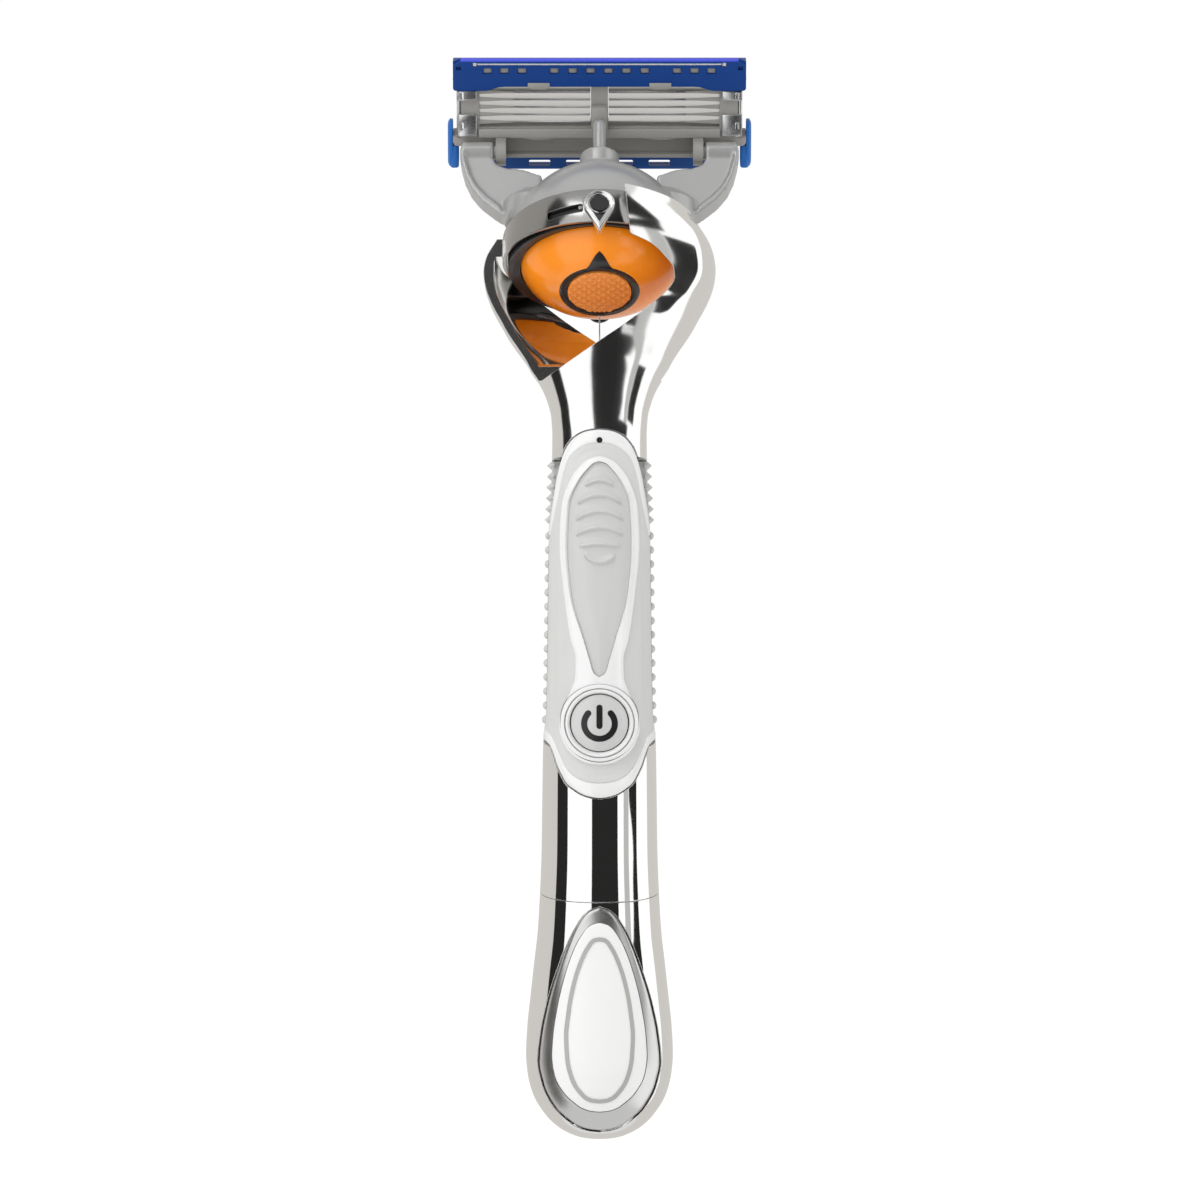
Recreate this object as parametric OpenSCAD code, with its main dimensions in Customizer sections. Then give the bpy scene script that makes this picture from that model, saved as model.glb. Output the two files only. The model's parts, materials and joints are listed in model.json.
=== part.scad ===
// Battery cartridge razor: vibrating handle with a sprung ball head, a pivoting
// five-blade cartridge, a push-to-release button and a twist-off battery cap.
// Millimetres. +Z runs up the handle to the head, -Y is the thumb side, +X is to
// the right seen from the thumb side. The origin is on the handle's centreline
// at thumb-pad height.

/* [Handle] */
// lean of the battery end towards the palm, degrees
lower_bend = 10; // [8:1:12]
// lean of the neck away from the thumb side, degrees
neck_bend = 20; // [18:1:22]
// depth of the pocket that takes the grip skins
skin_t = 1.2; // [1.1:0.05:1.3]
// wall left between the grip skins and the electronics bay
bay_wall = 1.2; // [1.0:0.1:1.4]
// squareness of the handle's cross-section, 2 is an ellipse
section_power = 2.3; // [2.1:0.1:2.6]

/* [Battery end] */
// diameter of the AAA cell
cell_d = 10.5; // [10:0.1:10.5]
// length of the AAA cell with its nub
cell_l = 44.5; // [43:0.5:44.5]
// outer radius of the battery chassis tube
chassis_r = 6.4; // [6.2:0.05:6.4]
// bore radius of the cap over the chassis tube
cap_bore_r = 6.8; // [6.75:0.01:6.85]
// radius of the O-ring's cord
oring_r = 0.38; // [0.36:0.01:0.39]

/* [Head] */
// lean of the ball head's axis, degrees
head_lean = 30; // [28:1:32]
// outer radius of the cradle's band
band_r = 13.45; // [13.4:0.05:13.6]
// inner radius of the cradle's band
band_bore_r = 12.95; // [12.9:0.01:13.0]
// radius of the ball that turns in the band
ball_r = 12.7; // [12.6:0.05:12.7]
// radius of the roll pivot pins
roll_pin_r = 1.0; // [0.8:0.1:1.0]
// radius of the knurled release button
eject_r = 4.4; // [4.2:0.1:4.5]
// radius of the black ring round the release pad
ring_r = 5.54; // [5.4:0.02:5.6]
// lower edge of the chrome band, along the head axis
band_low = -2.5; // [-2.6:0.05:-2.4]

/* [Cartridge] */
// lean of the cartridge towards the thumb side, degrees
cart_lean = 22; // [20:1:24]
// width of the blade housing
cart_w = 41; // [40:0.5:42]
// pitch of the blades
blade_pitch = 1.1; // [1.05:0.05:1.15]
// radius of the cartridge's pivot pins
cart_pin_r = 1.0; // [0.8:0.1:1.0]
// radial clearance of pins and plungers in their bores
run_gap = 0.05; // [0.02:0.01:0.08]
// radius of the return plunger
plunger_r = 0.9; // [0.8:0.05:0.95]

/* [Motor and button] */
// radius of the vibration motor's can
motor_r = 3; // [2.5:0.1:3]
// length of the vibration motor's can
motor_l = 12; // [10:0.5:12]
// radius of the power button's dome
button_r = 3.95; // [3.6:0.05:4.1]

/* [Hidden] */
$fn = 48;
eps = 0.02;
// centreline: straight below z_lo, straight above z_hi, two arcs between
z_lo = -33;
z_hi = 25;
// centre of the ball head
ball_z = 37.8;
ball_c = [0, cy(ball_z), ball_z];
// pivot axis of the cartridge, as a distance up the head's axis
pivot_u = 17.4;
// joint face between handle and battery cap, along the lower axis
seam = -17.06;
cap_l = 35.1;
// battery ends along the lower axis
cell_low = seam - 27;
cell_top = cell_low + cell_l;
// heights along the front face
panel_top = 13.9;
panel_low = -36.85;
button_z = -26.5;
pad_top = 9.4;
pad_low = -20.2;
grip_low = -29;
grip_top = 9.4;
neck_low = 16;
arm_low = 20;

// ---------- handle outline ----------
// half-width of the handle, by height
half_w = [
    [-84.3, 0.6], [-83.9, 3.0], [-83.4, 4.4], [-82.6, 5.7], [-81.7, 6.8], [-80.1, 8.1],
    [-78.4, 9.1], [-76.8, 9.65], [-75.1, 10.0], [-72.6, 10.2], [-68.5, 10.0],
    [-65.2, 9.65], [-60.2, 9.1], [-55.3, 8.55], [-50.3, 8.25], [-44, 8.0],
    [-37, 7.9], [-29, 7.75], [-25, 7.35], [-14, 7.15], [0, 6.95], [4, 6.75],
    [9, 6.55], [13, 6.5], [15.7, 6.67], [17.3, 7.05], [19, 7.65], [20.6, 8.46],
    [22, 9.4], [23.4, 10.15], [24.8, 11.05], [26.1, 11.95], [27.5, 12.85],
    [28.9, 13.6], [30.3, 14.4], [31.6, 15.05], [33, 15.6], [34.4, 15.95],
    [35.8, 16.1], [37.1, 15.95], [38.2, 15.6], [39.3, 15.0], [40.4, 14.3],
    [41.5, 13.8], [44, 13.4]
];
// half-depth of the handle, by height
half_d = [
    [-84.3, 0.5], [-83.9, 2.6], [-83.4, 3.8], [-82.6, 5.0], [-81.7, 6.0], [-80.1, 7.2],
    [-78.4, 8.1], [-76.8, 8.6], [-75.1, 8.9], [-72.6, 9.1], [-68.5, 9.0],
    [-60.2, 8.6], [-50.3, 8.3], [-33, 8.0], [-25, 7.6], [-10, 7.3], [0, 7.0],
    [4, 6.6], [10.7, 5.7], [14, 5.35], [17.3, 5.7], [20.6, 6.9], [24, 9.1],
    [27, 11.4], [30.5, 13.5], [34, 14.7], [38, 14.9], [40, 14.6], [42.6, 13.8],
    [44, 13.2]
];
// where the cradle's flat front face meets its side wall, as a share of the half-width
crease = [
    [16, 0.50], [18, 0.49], [22, 0.53], [23.8, 0.56], [25.7, 0.655], [27.9, 0.77],
    [30.1, 0.87], [32.6, 0.9], [35.1, 0.87], [37.7, 0.83], [40.2, 0.76], [44, 0.7]
];
// how far the face stands out from the crease, by height
crown = [[16, 0.45], [20, 0.6], [24, 1.6], [28, 3.6], [32, 5.2], [36, 5.4], [40, 4.6], [44, 4.0]];
// half-width of the white panel, by height down the front
panel_w = [
    [-36.85, 0.3], [-36.6, 1.5], [-36.3, 2.4], [-35.7, 3.5], [-34.9, 4.54], [-33.8, 5.2],
    [-32.5, 5.85], [-31, 6.35], [-29.7, 6.9], [-28.6, 7.7], [0, 7.7], [0.4, 7.0],
    [3.44, 6.6], [7.7, 5.85], [10.7, 4.95], [12.4, 3.9], [13.3, 2.7], [13.7, 1.6], [13.9, 0.3]
];
// half-width of the soft grip inside the panel
grip_w = [
    [-34.7, 0.3], [-34.5, 1.6], [-34.1, 2.82], [-33.5, 3.8], [-32.7, 4.54], [-30.7, 5.57],
    [-28.4, 6.6], [-27.1, 7.7], [-3, 7.7], [-1, 6.7], [4, 5.75], [8, 4.9], [9.8, 4.2],
    [11.2, 2.7], [11.8, 1.3], [11.97, 0.3]
];
// half-width of the raised ridge
ridge_w = [
    [-32.3, 0.3], [-32.1, 1.6], [-31.9, 2.1], [-30.7, 3.8], [-28.2, 5.3], [-26.3, 5.45],
    [-24.5, 4.95], [-22.1, 3.96], [-20.1, 3.3], [-17.7, 3.29], [-15.1, 3.96],
    [-8.9, 4.83], [-2, 5.45], [3, 5.2], [6.5, 4.2], [9, 2.5], [9.9, 1.2], [10.18, 0.3]
];
// half-width of the thumb pad
pad_w = [
    [-20.1, 0.3], [-18, 1.1], [-15.1, 2.05], [-8.9, 3.78], [-2.2, 4.33], [3.6, 4.25],
    [6.5, 3.1], [8.4, 1.7], [9.1, 0.8], [9.35, 0.3]
];

function spow(v, p) = sign(v) * pow(abs(v), p);
function slope(s) =
    s < z_lo ? -tan(lower_bend)
    : s < 0 ? -tan(lower_bend) * s / z_lo
    : s < z_hi ? tan(neck_bend) * s / z_hi
    : tan(neck_bend);
function cy(s) =
    s < z_lo ? tan(lower_bend) * (z_lo / -2 + z_lo - s)
    : s < 0 ? -tan(lower_bend) * s * s / (2 * z_lo)
    : s < z_hi ? tan(neck_bend) * s * s / (2 * z_hi)
    : tan(neck_bend) * (s - z_hi / 2);
function lean(s) = atan(slope(s));
function hw(s) = lookup(s, half_w);
function hd(s) = lookup(s, half_d);
// a point in the cross-section at s: x to the right, v towards the palm
function place(s, x, v) = [x, cy(s) + v * cos(lean(s)), s - v * sin(lean(s))];
// outline point of the section at angle a from the front, moved out by off
function outline(s, a, off) =
    let (w = hw(s) + off, d = hd(s) + off)
    place(s, w * spow(sin(a), 2 / section_power), -d * spow(cos(a), 2 / section_power));
function section(s, off, n) = [for (i = [0 : n - 1]) outline(s, i * 360 / n, off)];
// the section whose front surface lies at height z for angle a
function section_at(z, a) =
    z - hd(z) * spow(cos(a), 2 / section_power) * sin(lean(z));
// angle at which the section at z is x wide, stopped at reach
function angle_at(z, x, reach) =
    min(reach, asin(pow(min(1, x / hw(z)), section_power / 2)));

// ---------- solid builders ----------
// closed skin through rings of points, capped at both ends
module loft(rings) {
    m = len(rings);
    n = len(rings[0]);
    sides = [
        for (i = [0 : m - 2], j = [0 : n - 1])
            let (k = (j + 1) % n, a = i * n + j, b = i * n + k, c = a + n, d = b + n)
            each [[a, c, d], [a, d, b]]
    ];
    low = [[for (j = [0 : n - 1]) j]];
    top = [[for (j = [n - 1 : -1 : 0]) (m - 1) * n + j]];
    polyhedron(points = [for (r = rings) each r], faces = concat(low, sides, top));
}
// slab between two grids of points with the same rows and columns
module slab(outer, inner) {
    m = len(outer);
    n = len(outer[0]);
    q = m * n;
    top = [
        for (i = [0 : m - 2], j = [0 : n - 2])
            let (a = i * n + j, b = a + 1, c = a + n, d = c + 1)
            each [[a, c, d], [a, d, b], [q + a, q + d, q + c], [q + a, q + b, q + d]]
    ];
    ends = [
        for (j = [0 : n - 2])
            let (a = j, b = j + 1, c = (m - 1) * n + j, d = c + 1)
            each [[a, b, q + b], [a, q + b, q + a], [d, c, q + c], [d, q + c, q + d]]
    ];
    flanks = [
        for (i = [0 : m - 2])
            let (a = i * n, c = a + n, b = a + n - 1, d = c + n - 1)
            each [[c, a, q + a], [c, q + a, q + c], [b, d, q + d], [b, q + d, q + b]]
    ];
    pts = concat([for (r = outer) each r], [for (r = inner) each r]);
    polyhedron(points = pts, faces = concat(top, ends, flanks));
}
// heights from low to high, close together at both ends
function rows(low, high, n) =
    [for (i = [0 : n]) (low + high) / 2 - (high - low) / 2 * cos(180 * i / n)];
// patch of the front face, half as wide as the table says, widened by grow
module front_patch(low, high, table, from, to, nr = 22, nc = 10, grow = 0, reach = 88) {
    zs = rows(low, high, nr);
    function row(z, off) = [
        for (j = [-nc : 2 : nc])
            let (a = angle_at(z, lookup(z, table) + grow, reach) * j / nc)
            outline(section_at(z, a), a, off)
    ];
    slab([for (z = zs) row(z, to)], [for (z = zs) row(z, from)]);
}
// band of skin between two angles, from section low to section high
module skin_band(low, high, a0, a1, from, to, nr = 12, nc = 6) {
    ss = [for (i = [0 : nr]) low + (high - low) * i / nr];
    function row(s, off) = [for (j = [0 : nc]) outline(s, a0 + (a1 - a0) * j / nc, off)];
    slab([for (s = ss) row(s, to)], [for (s = ss) row(s, from)]);
}
// frames: battery axis, ball head, cartridge, button
module lower() {
    translate([0, cy(z_lo), z_lo]) rotate([lower_bend, 0, 0]) children();
}
module head() {
    translate(ball_c) rotate([-head_lean, 0, 0]) children();
}
// head frame with Z out of the front of the ball
module head_front() {
    head() rotate([90, 0, 0]) children();
}
module cart() {
    head() translate([0, 0, pivot_u]) rotate([head_lean + cart_lean, 0, 0]) children();
}
module on_front(z, off = 0) {
    s = section_at(z, 0);
    translate(outline(s, 0, off)) rotate([90 - lean(s), 0, 0]) children();
}
module bar(low, high) {
    translate(low) cube(high - low);
}
module tube(r1, r2, z0, z1) {
    translate([0, 0, z0])
        difference() {
            cylinder(r = r2, h = z1 - z0);
            translate([0, 0, -1]) cylinder(r = r1, h = z1 - z0 + 2);
        }
}
module rod(r, z0, z1) {
    translate([0, 0, z0]) cylinder(r = r, h = z1 - z0);
}
module pair() {
    children();
    mirror([1, 0, 0]) children();
}

// ---------- handle ----------
module handle_shell() {
    color([0.80, 0.80, 0.79])
        difference() {
            union() {
                loft([for (s = [-49.75, -44, -37, -33, grip_low - 0.1]) section(s, 0, 32)]);
                loft([for (s = rows(grip_low - 1, grip_top + 1, 12)) section(s, -skin_t - 0.05, 32)]);
                loft([for (s = [grip_top + 0.1, 11, 13, neck_low]) section(s, 0, 32)]);
            }
            front_patch(panel_low - 0.1, panel_top + 0.1, panel_w, -skin_t - 0.05, 4,
                nr = 28, nc = 12, grow = 0.12);
            on_front(button_z) rod(5.42, -6, 8);
            loft([for (s = rows(-31, 11.6, 8)) section(s, -skin_t - bay_wall, 24)]);
            lower() rod(chassis_r + eps, seam - 1, 4);
        }
}
// closed section of the cradle: flat front and back faces between side walls
function cradle_half(s) =
    let (
        w = hw(s), d = hd(s), k = lookup(s, crease), b = lookup(s, crown),
        vc = d * pow(1 - pow(k, section_power), 1 / section_power)
    )
    concat(
        [for (i = [-4 : 4]) let (x = k * w * i / 4) [x, -vc - b * (1 - pow(i / 4, 2))]],
        [for (i = [1 : 4]) let (
            a0 = asin(pow(k, section_power / 2)),
            a = a0 + (90 - a0) * i / 5)
            [w * spow(sin(a), 2 / section_power), -d * spow(cos(a), 2 / section_power)]]
    );
function cradle_ring(s) = [
    for (turn = [0, 1], p = concat(cradle_half(s), [[hw(s), 0]]))
        place(s, p[0] * (turn == 0 ? 1 : -1), p[1] * (turn == 0 ? 1 : -1)),
];
module cradle_solid() {
    loft([for (s = [neck_low, 17.3, 19, 20.6, 22, 23.4, 24.8, 26.1, 27.5, 28.9, 30.3, 31.6, 33,
                    34.4, 35.8, 37.1, 38.2, 39.3, 40.4, 41.5, 44]) cradle_ring(s)]);
}
// inner skin of the hollow rear arm
module cradle_hollow() {
    loft([for (s = [22.6, 23.9, 25.3, 26.8, 28.2, 29.6, 31.1, 32.5, 33.9, 35.3, 36.6, 38.0])
        [for (turn = [0, 1], p = concat(cradle_half(s), [[hw(s), 0]]))
            let (kx = (turn == 0 ? 1 : -1) * (1 - 1.8 / hw(s)), kv = (turn == 0 ? 1 : -1) * (1 - 1.8 / hd(s)))
            place(s, p[0] * kx, p[1] * kv)]]);
}
// the arm's outline seen from the thumb side
module arm_window() {
    rotate([90, 0, 0]) linear_extrude(height = 60, center = true)
        polygon([[-10, arm_low], [20, arm_low], [20, 50], [3.2, 50], [4.2, 40.7], [7.2, 39.3],
                 [9.1, 37.5], [10.2, 35.9], [10.3, 34.7], [9.8, 33.6], [8.6, 32.3], [7, 30.95],
                 [5, 29.45], [3, 28], [0, 26], [-7.9, 20.6]]);
}
module cradle_arm(side) {
    color([0.80, 0.80, 0.79])
        intersection() {
            difference() {
                cradle_solid();
                translate(ball_c) sphere(r = 13.3, $fn = 72);
                if (side < 0) cradle_hollow();
                head() rod(band_r + eps, band_low - 0.02, 12);
                head() bar([-30, -30, 2.8], [30, 30, 30]);
            }
            scale([side, 1, 1]) arm_window();
            translate([0, cy(30), 30]) rotate([-neck_bend, 0, 0])
                scale([1, side, 1]) bar([-30, -30, -30], [30, 0.05 * side, 30]);
        }
}
module cradle_front_arm() {
    cradle_arm(1);
}
module cradle_rear_arm() {
    cradle_arm(-1);
}
module neck() {
    color([0.80, 0.80, 0.79])
        intersection() {
            cradle_solid();
            bar([-20, -20, 0], [20, 30, arm_low]);
        }
}
module cradle_band() {
    color([0.45, 0.45, 0.44])
        difference() {
            head() tube(band_bore_r, band_r, band_low, 2.8);
            // lower edge rises towards the back
            head() translate([0, 0, -0.8]) rotate([7.2, 0, 0]) bar([-20, -20, -10], [20, 20, 0]);
            head_front() rod(roll_pin_r + eps, 5, 20);
            head_front() rod(roll_pin_r + eps, -20, -5);
            head_front() rotate([0, 0, 4]) bar([-7.2, -0.65, 5], [-2.3, 0.65, 20]);
        }
}
module teardrop(z0, z1) {
    translate([0, 0, z0])
        hull() {
            cylinder(r = 2.15, h = z1 - z0);
            translate([0, -4.0, 0]) cylinder(r = 0.18, h = (z1 - z0) * 0.7, $fn = 12);
        }
}
module pivot_bezel() {
    color([0.75, 0.75, 0.74])
        head_front() difference() {
            union() {
                teardrop(13.3, 14.15);
                // the tip hangs below the band and is deeper there
                intersection() {
                    teardrop(12.2, 13.5);
                    bar([-3, -5, 12], [3, band_low - 0.1, 14]);
                }
            }
            rod(1.3, 13.9, 16);
            rod(roll_pin_r + eps, 5, 20);
            rotate([-90, 0, 0]) rod(band_r, band_low, 6);
        }
}
module roll_pins() {
    color([0.12, 0.12, 0.12])
        head_front() {
            rod(roll_pin_r, 11.3, 14.0);
            rod(1.25, 13.92, 14.25);
            rod(roll_pin_r, -13.95, -11.3);
            rod(1.7, -14.3, -13.9);
        }
}
module return_rod() {
    color([0.35, 0.35, 0.36])
        translate([0, cy(26) + 1.0, 26.1]) bar([-0.1, -0.9, 0], [0.1, 0.9, 5.2]);
}
module panel_rim() {
    color([0.96, 0.96, 0.95])
        difference() {
            front_patch(panel_low, panel_top, panel_w, -skin_t, 0, nr = 28, nc = 12);
            front_patch(-34.84, 12.11, grip_w, -4, 4, nr = 26, nc = 12, grow = 0.2, reach = 89.9);
        }
}
module front_grip() {
    color([0.83, 0.83, 0.82])
        difference() {
            front_patch(-34.7, 11.97, grip_w, -skin_t, 0.05, nr = 26, nc = 12);
            on_front(button_z) rod(5.42, -8, 8);
        }
}
module grip_ridge() {
    color([0.97, 0.97, 0.96])
        difference() {
            front_patch(-32.3, 10.18, ridge_w, -0.3, 0.55, nr = 28, nc = 10);
            front_patch(pad_low + 0.03, pad_top + 0.07, pad_w, -4, 4, nr = 18, nc = 8, grow = 0.16);
            on_front(button_z) rod(5.42, -8, 8);
        }
}
module thumb_pad() {
    rib_z = [6.6, 4.5, 2.3, 0.1, -2.2, -4.0];
    rib_w = [2.0, 3.1, 3.3, 3.3, 2.9, 2.0];
    color([0.80, 0.80, 0.79]) {
        front_patch(pad_low + 0.15, pad_top - 0.05, pad_w, -0.25, 0.2, nr = 18, nc = 8);
        for (i = [0 : 5])
            on_front(rib_z[i], 0.1)
                bar([-rib_w[i], -0.35, -0.9], [rib_w[i], 0.35, 0.35]);
    }
}
module side_grip(turn) {
    a0 = turn > 0 ? 89.2 : 257.6;
    a1 = turn > 0 ? 102.4 : 270.8;
    color([0.78, 0.78, 0.77]) {
        skin_band(grip_low, grip_top, a0, a1, -skin_t, 0, nr = 14, nc = 2);
        // pointed studs by the neck, round ones down to the button
        for (i = [0 : 19]) {
            s = i < 6 ? 8.9 - 1.5 * i : -0.8 - 1.95 * (i - 6);
            translate(place(s, turn * (hw(s) - 0.35), 0.45))
                rotate([0, turn * 90, 0])
                    cylinder(r1 = 0.72, r2 = i < 6 ? 0.1 : 0.4, h = 0.95, $fn = 8);
        }
    }
}
module side_grips() {
    side_grip(1);
    side_grip(-1);
}
module rear_grip() {
    color([0.80, 0.80, 0.79])
        skin_band(grip_low, grip_top, 102.8, 257.2, -skin_t, 0, nr = 16, nc = 14);
}
module button_bezel() {
    color([0.95, 0.95, 0.94])
        difference() {
            on_front(button_z) {
                rod(5.38, -2.4, 0.35);
                rod(5.1, 0.3, 0.6);
            }
            on_front(button_z) rod(button_r + 0.1, -5, 5);
            lower() rod(chassis_r + eps, 0, 12);
        }
}
module indicator_lens() {
    color([0.10, 0.10, 0.10])
        on_front(12.35) rod(0.4, -0.6, 0.08);
}
// ---------- inside the handle ----------
module battery_chassis() {
    color([0.93, 0.93, 0.90])
        lower() difference() {
            union() {
                rod(chassis_r, seam - 8.5, 3);
                rod(chassis_r - 0.6, 3 - eps, 3.6);
            }
            rod(cell_d / 2 + 0.15, seam - 9, 2.6);
            rod(2.2, 2, 5);
            translate([0, 0, seam - 3])
                rotate_extrude() translate([chassis_r - 0.03, 0]) circle(r = oring_r + 0.05);
        }
}
module contact_strips() {
    color([0.85, 0.70, 0.35]) {
        lower() {
            rod(2.1, cell_top + 0.1, 3.5);
            rod(1.2, 3.4, 4.6);
        }
        pair() translate([2.4, cy(-10) + 0.2, -10]) rotate([-lean(-10), 0, 0])
            bar([0, -0.7, -0.6], [0.8, -0.5, 3.2]);
    }
}
module circuit_board() {
    color([0.10, 0.40, 0.22])
        translate([0, cy(-21) + 0.2, -21]) rotate([lean(-21) * -1, 0, 0])
            bar([-3.4, -1.6, -7.2], [3.4, -0.8, 10.2]);
}
module tact_switch() {
    color([0.15, 0.15, 0.16])
        on_front(button_z) {
            bar([-2.2, -2.2, -6.0], [2.2, 2.2, -4.2]);
            rod(1.2, -4.3, -3.6);
        }
}
module motor_frame() {
    translate([0, cy(-2.5), -2.5]) rotate([-4, 0, 0]) children();
}
module motor_can() {
    color([0.72, 0.72, 0.70])
        motor_frame() difference() {
            union() {
                rod(motor_r, -motor_l / 2 + 2, motor_l / 2);
                rod(1.2, motor_l / 2 - eps, motor_l / 2 + 0.6);
            }
            rod(0.5 + run_gap, -motor_l / 2 + 3, 20);
        }
}
module motor_cradle() {
    color([0.90, 0.88, 0.82])
        motor_frame() difference() {
            rod(motor_r + 0.55, -3.4, 1.5);
            rod(motor_r + eps, -9, 9);
            bar([-5, -9, -9], [5, -1.6, 9]);
        }
}
module motor_shaft() {
    color([0.65, 0.65, 0.66])
        motor_frame() rod(0.5, -2.6, 10.6);
}
module eccentric_weight() {
    color([0.42, 0.40, 0.38])
        motor_frame() difference() {
            rod(2.3, 7.2, 10.3);
            bar([-5, 0.5 + run_gap, 6], [5, 5, 12]);
            rod(0.5, 5, 12);
        }
}
// ---------- power button ----------
module button_cap() {
    color([0.82, 0.82, 0.81])
        on_front(button_z) {
            rod(button_r, -0.9, 0.35);
            translate([0, 0, 0.35 - eps]) intersection() {
                translate([0, 0, -15.3]) sphere(r = 15.8, $fn = 72);
                cylinder(r = button_r - 0.15, h = 2);
            }
            rod(1.0, -2.9, -0.8);
        }
}
module power_icon() {
    color([0.10, 0.10, 0.10])
        on_front(button_z) {
            difference() {
                tube(1.7, 2.55, 0.62, 0.98);
                translate([0, 0, 0.5]) linear_extrude(height = 1)
                    polygon([[0, 0], [-2.9, 4], [2.9, 4]]);
            }
            bar([-0.42, -0.6, 0.7], [0.42, 2.6, 1.02]);
        }
}
// ---------- ball head ----------
module ball_band(r, z0, z1) {
    intersection() {
        sphere(r = r, $fn = 96);
        rod(r + 1, z0, z1);
    }
}
module pod_body() {
    color([0.25, 0.25, 0.26])
        head() difference() {
            union() {
                ball_band(ball_r, -1.3, 1.8);
                rod(5.6, -1.3, 6.6);
            }
            // open underside around the plug
            tube(5.6, 11.2, -2, 0.6);
            rod(4.1, -2, 5.4);
            eject_place() rod(1.85, -20, -2);
            rotate([90, 0, 0]) rod(roll_pin_r + run_gap, 11.0, 14);
            rotate([90, 0, 0]) rod(roll_pin_r + run_gap, -14, -11.0);
        }
}
module pod_rim() {
    color([0.13, 0.13, 0.13])
        head() rotate_extrude($fn = 96)
            polygon([[11.0, -1.35], [12.6, -1.35], [12.55, -2.3], [12.3, -2.45], [11.6, -1.95],
                     [11.0, -1.85]]);
}
module bulb(grow) {
    translate([0, 0, -0.35]) scale([11.1 + grow, 11.1 + grow, 6.8 + grow]) sphere(r = 1, $fn = 96);
}
module ball_shell() {
    color([1.0, 0.52, 0.06])
        head() difference() {
            intersection() {
                bulb(0);
                rod(12, -8, -1.6);
            }
            bulb(-1.1);
            eject_place() rod(ring_r + 0.03, -3, 8);
        }
}
module eject_place() {
    translate([0, -1.2, -6.1]) rotate([180 - 6, 0, 0]) children();
}
module eject_surround() {
    color([0.13, 0.13, 0.13])
        head() difference() {
            union() {
                eject_place() rod(ring_r, -0.95, 0.17);
                // arrow on the ball's skin
                difference() {
                    intersection() {
                        bulb(0.2);
                        eject_place() linear_extrude(height = 10, center = true)
                            polygon([[-1.9, 5.2], [-1.43, 5.8], [-1.0, 6.6], [-0.5, 7.35], [0, 7.8],
                                     [0.5, 7.35], [1.0, 6.6], [1.43, 5.8], [1.9, 5.2]]);
                    }
                    bulb(0.01);
                }
            }
            eject_place() rod(eject_r + 0.12, -9, 9);
        }
}
module eject_pad() {
    pitch = 0.95;
    color([0.98, 0.55, 0.22])
        head() eject_place() difference() {
            rod(eject_r, -1.2, 0.55);
            for (turn = [45, 135], i = [-5 : 4])
                rotate([0, 0, turn]) translate([pitch * (i + 0.5), 0, 0.56])
                    rotate([90, 0, 0]) linear_extrude(height = 12, center = true)
                        polygon([[-pitch / 2, 0.01], [0, -0.34], [pitch / 2, 0.01]]);
        }
}
module ejector_pusher() {
    color([0.60, 0.60, 0.60])
        head() eject_place() {
            rod(1.3, -7.6, -1.2);
            rod(3.3, -7.8, -6.9);
            rod(1.75, -12.6, -7.7);
        }
}
module ejector_spring() {
    color([0.70, 0.70, 0.70])
        head() for (i = [0 : 4])
            translate([0, 0, 2.3 + 0.6 * i]) rotate_extrude() translate([3.1, 0]) circle(r = 0.25, $fn = 12);
}
// ---------- yoke ----------
dome_u = 1.2;
dome_r = 12.6;
plunger_y = -4.1;
module yoke_hub() {
    color([0.66, 0.67, 0.67])
        head() difference() {
            union() {
                intersection() {
                    translate([0, 0, dome_u]) sphere(r = dome_r, $fn = 96);
                    rod(14, 2.1, 20);
                }
                // shoulders that carry the arms
                intersection() {
                    rod(13.4, 5.4, 9.5);
                    sphere(r = 15.2, $fn = 96);
                    bar([-14, -4.6, 5], [14, 4.6, 10]);
                }
                translate([0, plunger_y, 0]) rod(2.7, 12, 14.2);
            }
            translate([0, 0, dome_u]) intersection() {
                sphere(r = dome_r - 1.6, $fn = 72);
                rod(12, 0, 8.8);
            }
            rod(dome_r - 1.65, 2, 4);
            translate([0, plunger_y, 0]) rod(plunger_r + run_gap, 11.2, 18);
            translate([0, plunger_y, 0]) rod(1.9, 8, 11.6);
        }
}
module yoke_arm() {
    head() difference() {
        union() {
            rotate([90, 0, 0]) linear_extrude(height = 2.4, center = true)
                polygon([[11.5, 6.0], [13.45, 6.2], [14.2, 6.8], [16.4, 8.8], [17.95, 10.6], [18.8, 12.6],
                         [19.4, 15], [19.6, 17.2], [19.4, 17.9], [18.8, 18.3], [15.5, 18.3], [14.9, 18.0],
                         [14.8, 15.3], [12.6, 14.2], [10.6, 14.0], [8.3, 12.2], [9.5, 8.6]]);
            // raised rim along the outer edge
            rotate([90, 0, 0]) linear_extrude(height = 2.8, center = true)
                polygon([[13.5, 6.25], [14.2, 6.8], [16.4, 8.8], [17.95, 10.6], [18.8, 12.6],
                         [19.4, 15], [19.6, 17.2], [18.9, 17.2], [18.7, 15.2], [18.1, 12.9],
                         [17.3, 11.1], [15.9, 9.4], [13.9, 7.6]]);
            translate([0, 0, pivot_u]) rotate([0, 90, 0]) rod(1.5, 14.8, 19.2);
            translate([0, 0, pivot_u]) rotate([0, 90, 0]) rod(cart_pin_r, 13.05, 15);
        }
        translate([0, 0, dome_u]) sphere(r = dome_r + eps, $fn = 72);
        rod(13.42, 5.2, 9.55);
    }
}
module yoke_arm_right() {
    color([0.66, 0.67, 0.67]) yoke_arm();
}
module yoke_arm_left() {
    color([0.66, 0.67, 0.67]) mirror([1, 0, 0]) yoke_arm();
}
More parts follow.
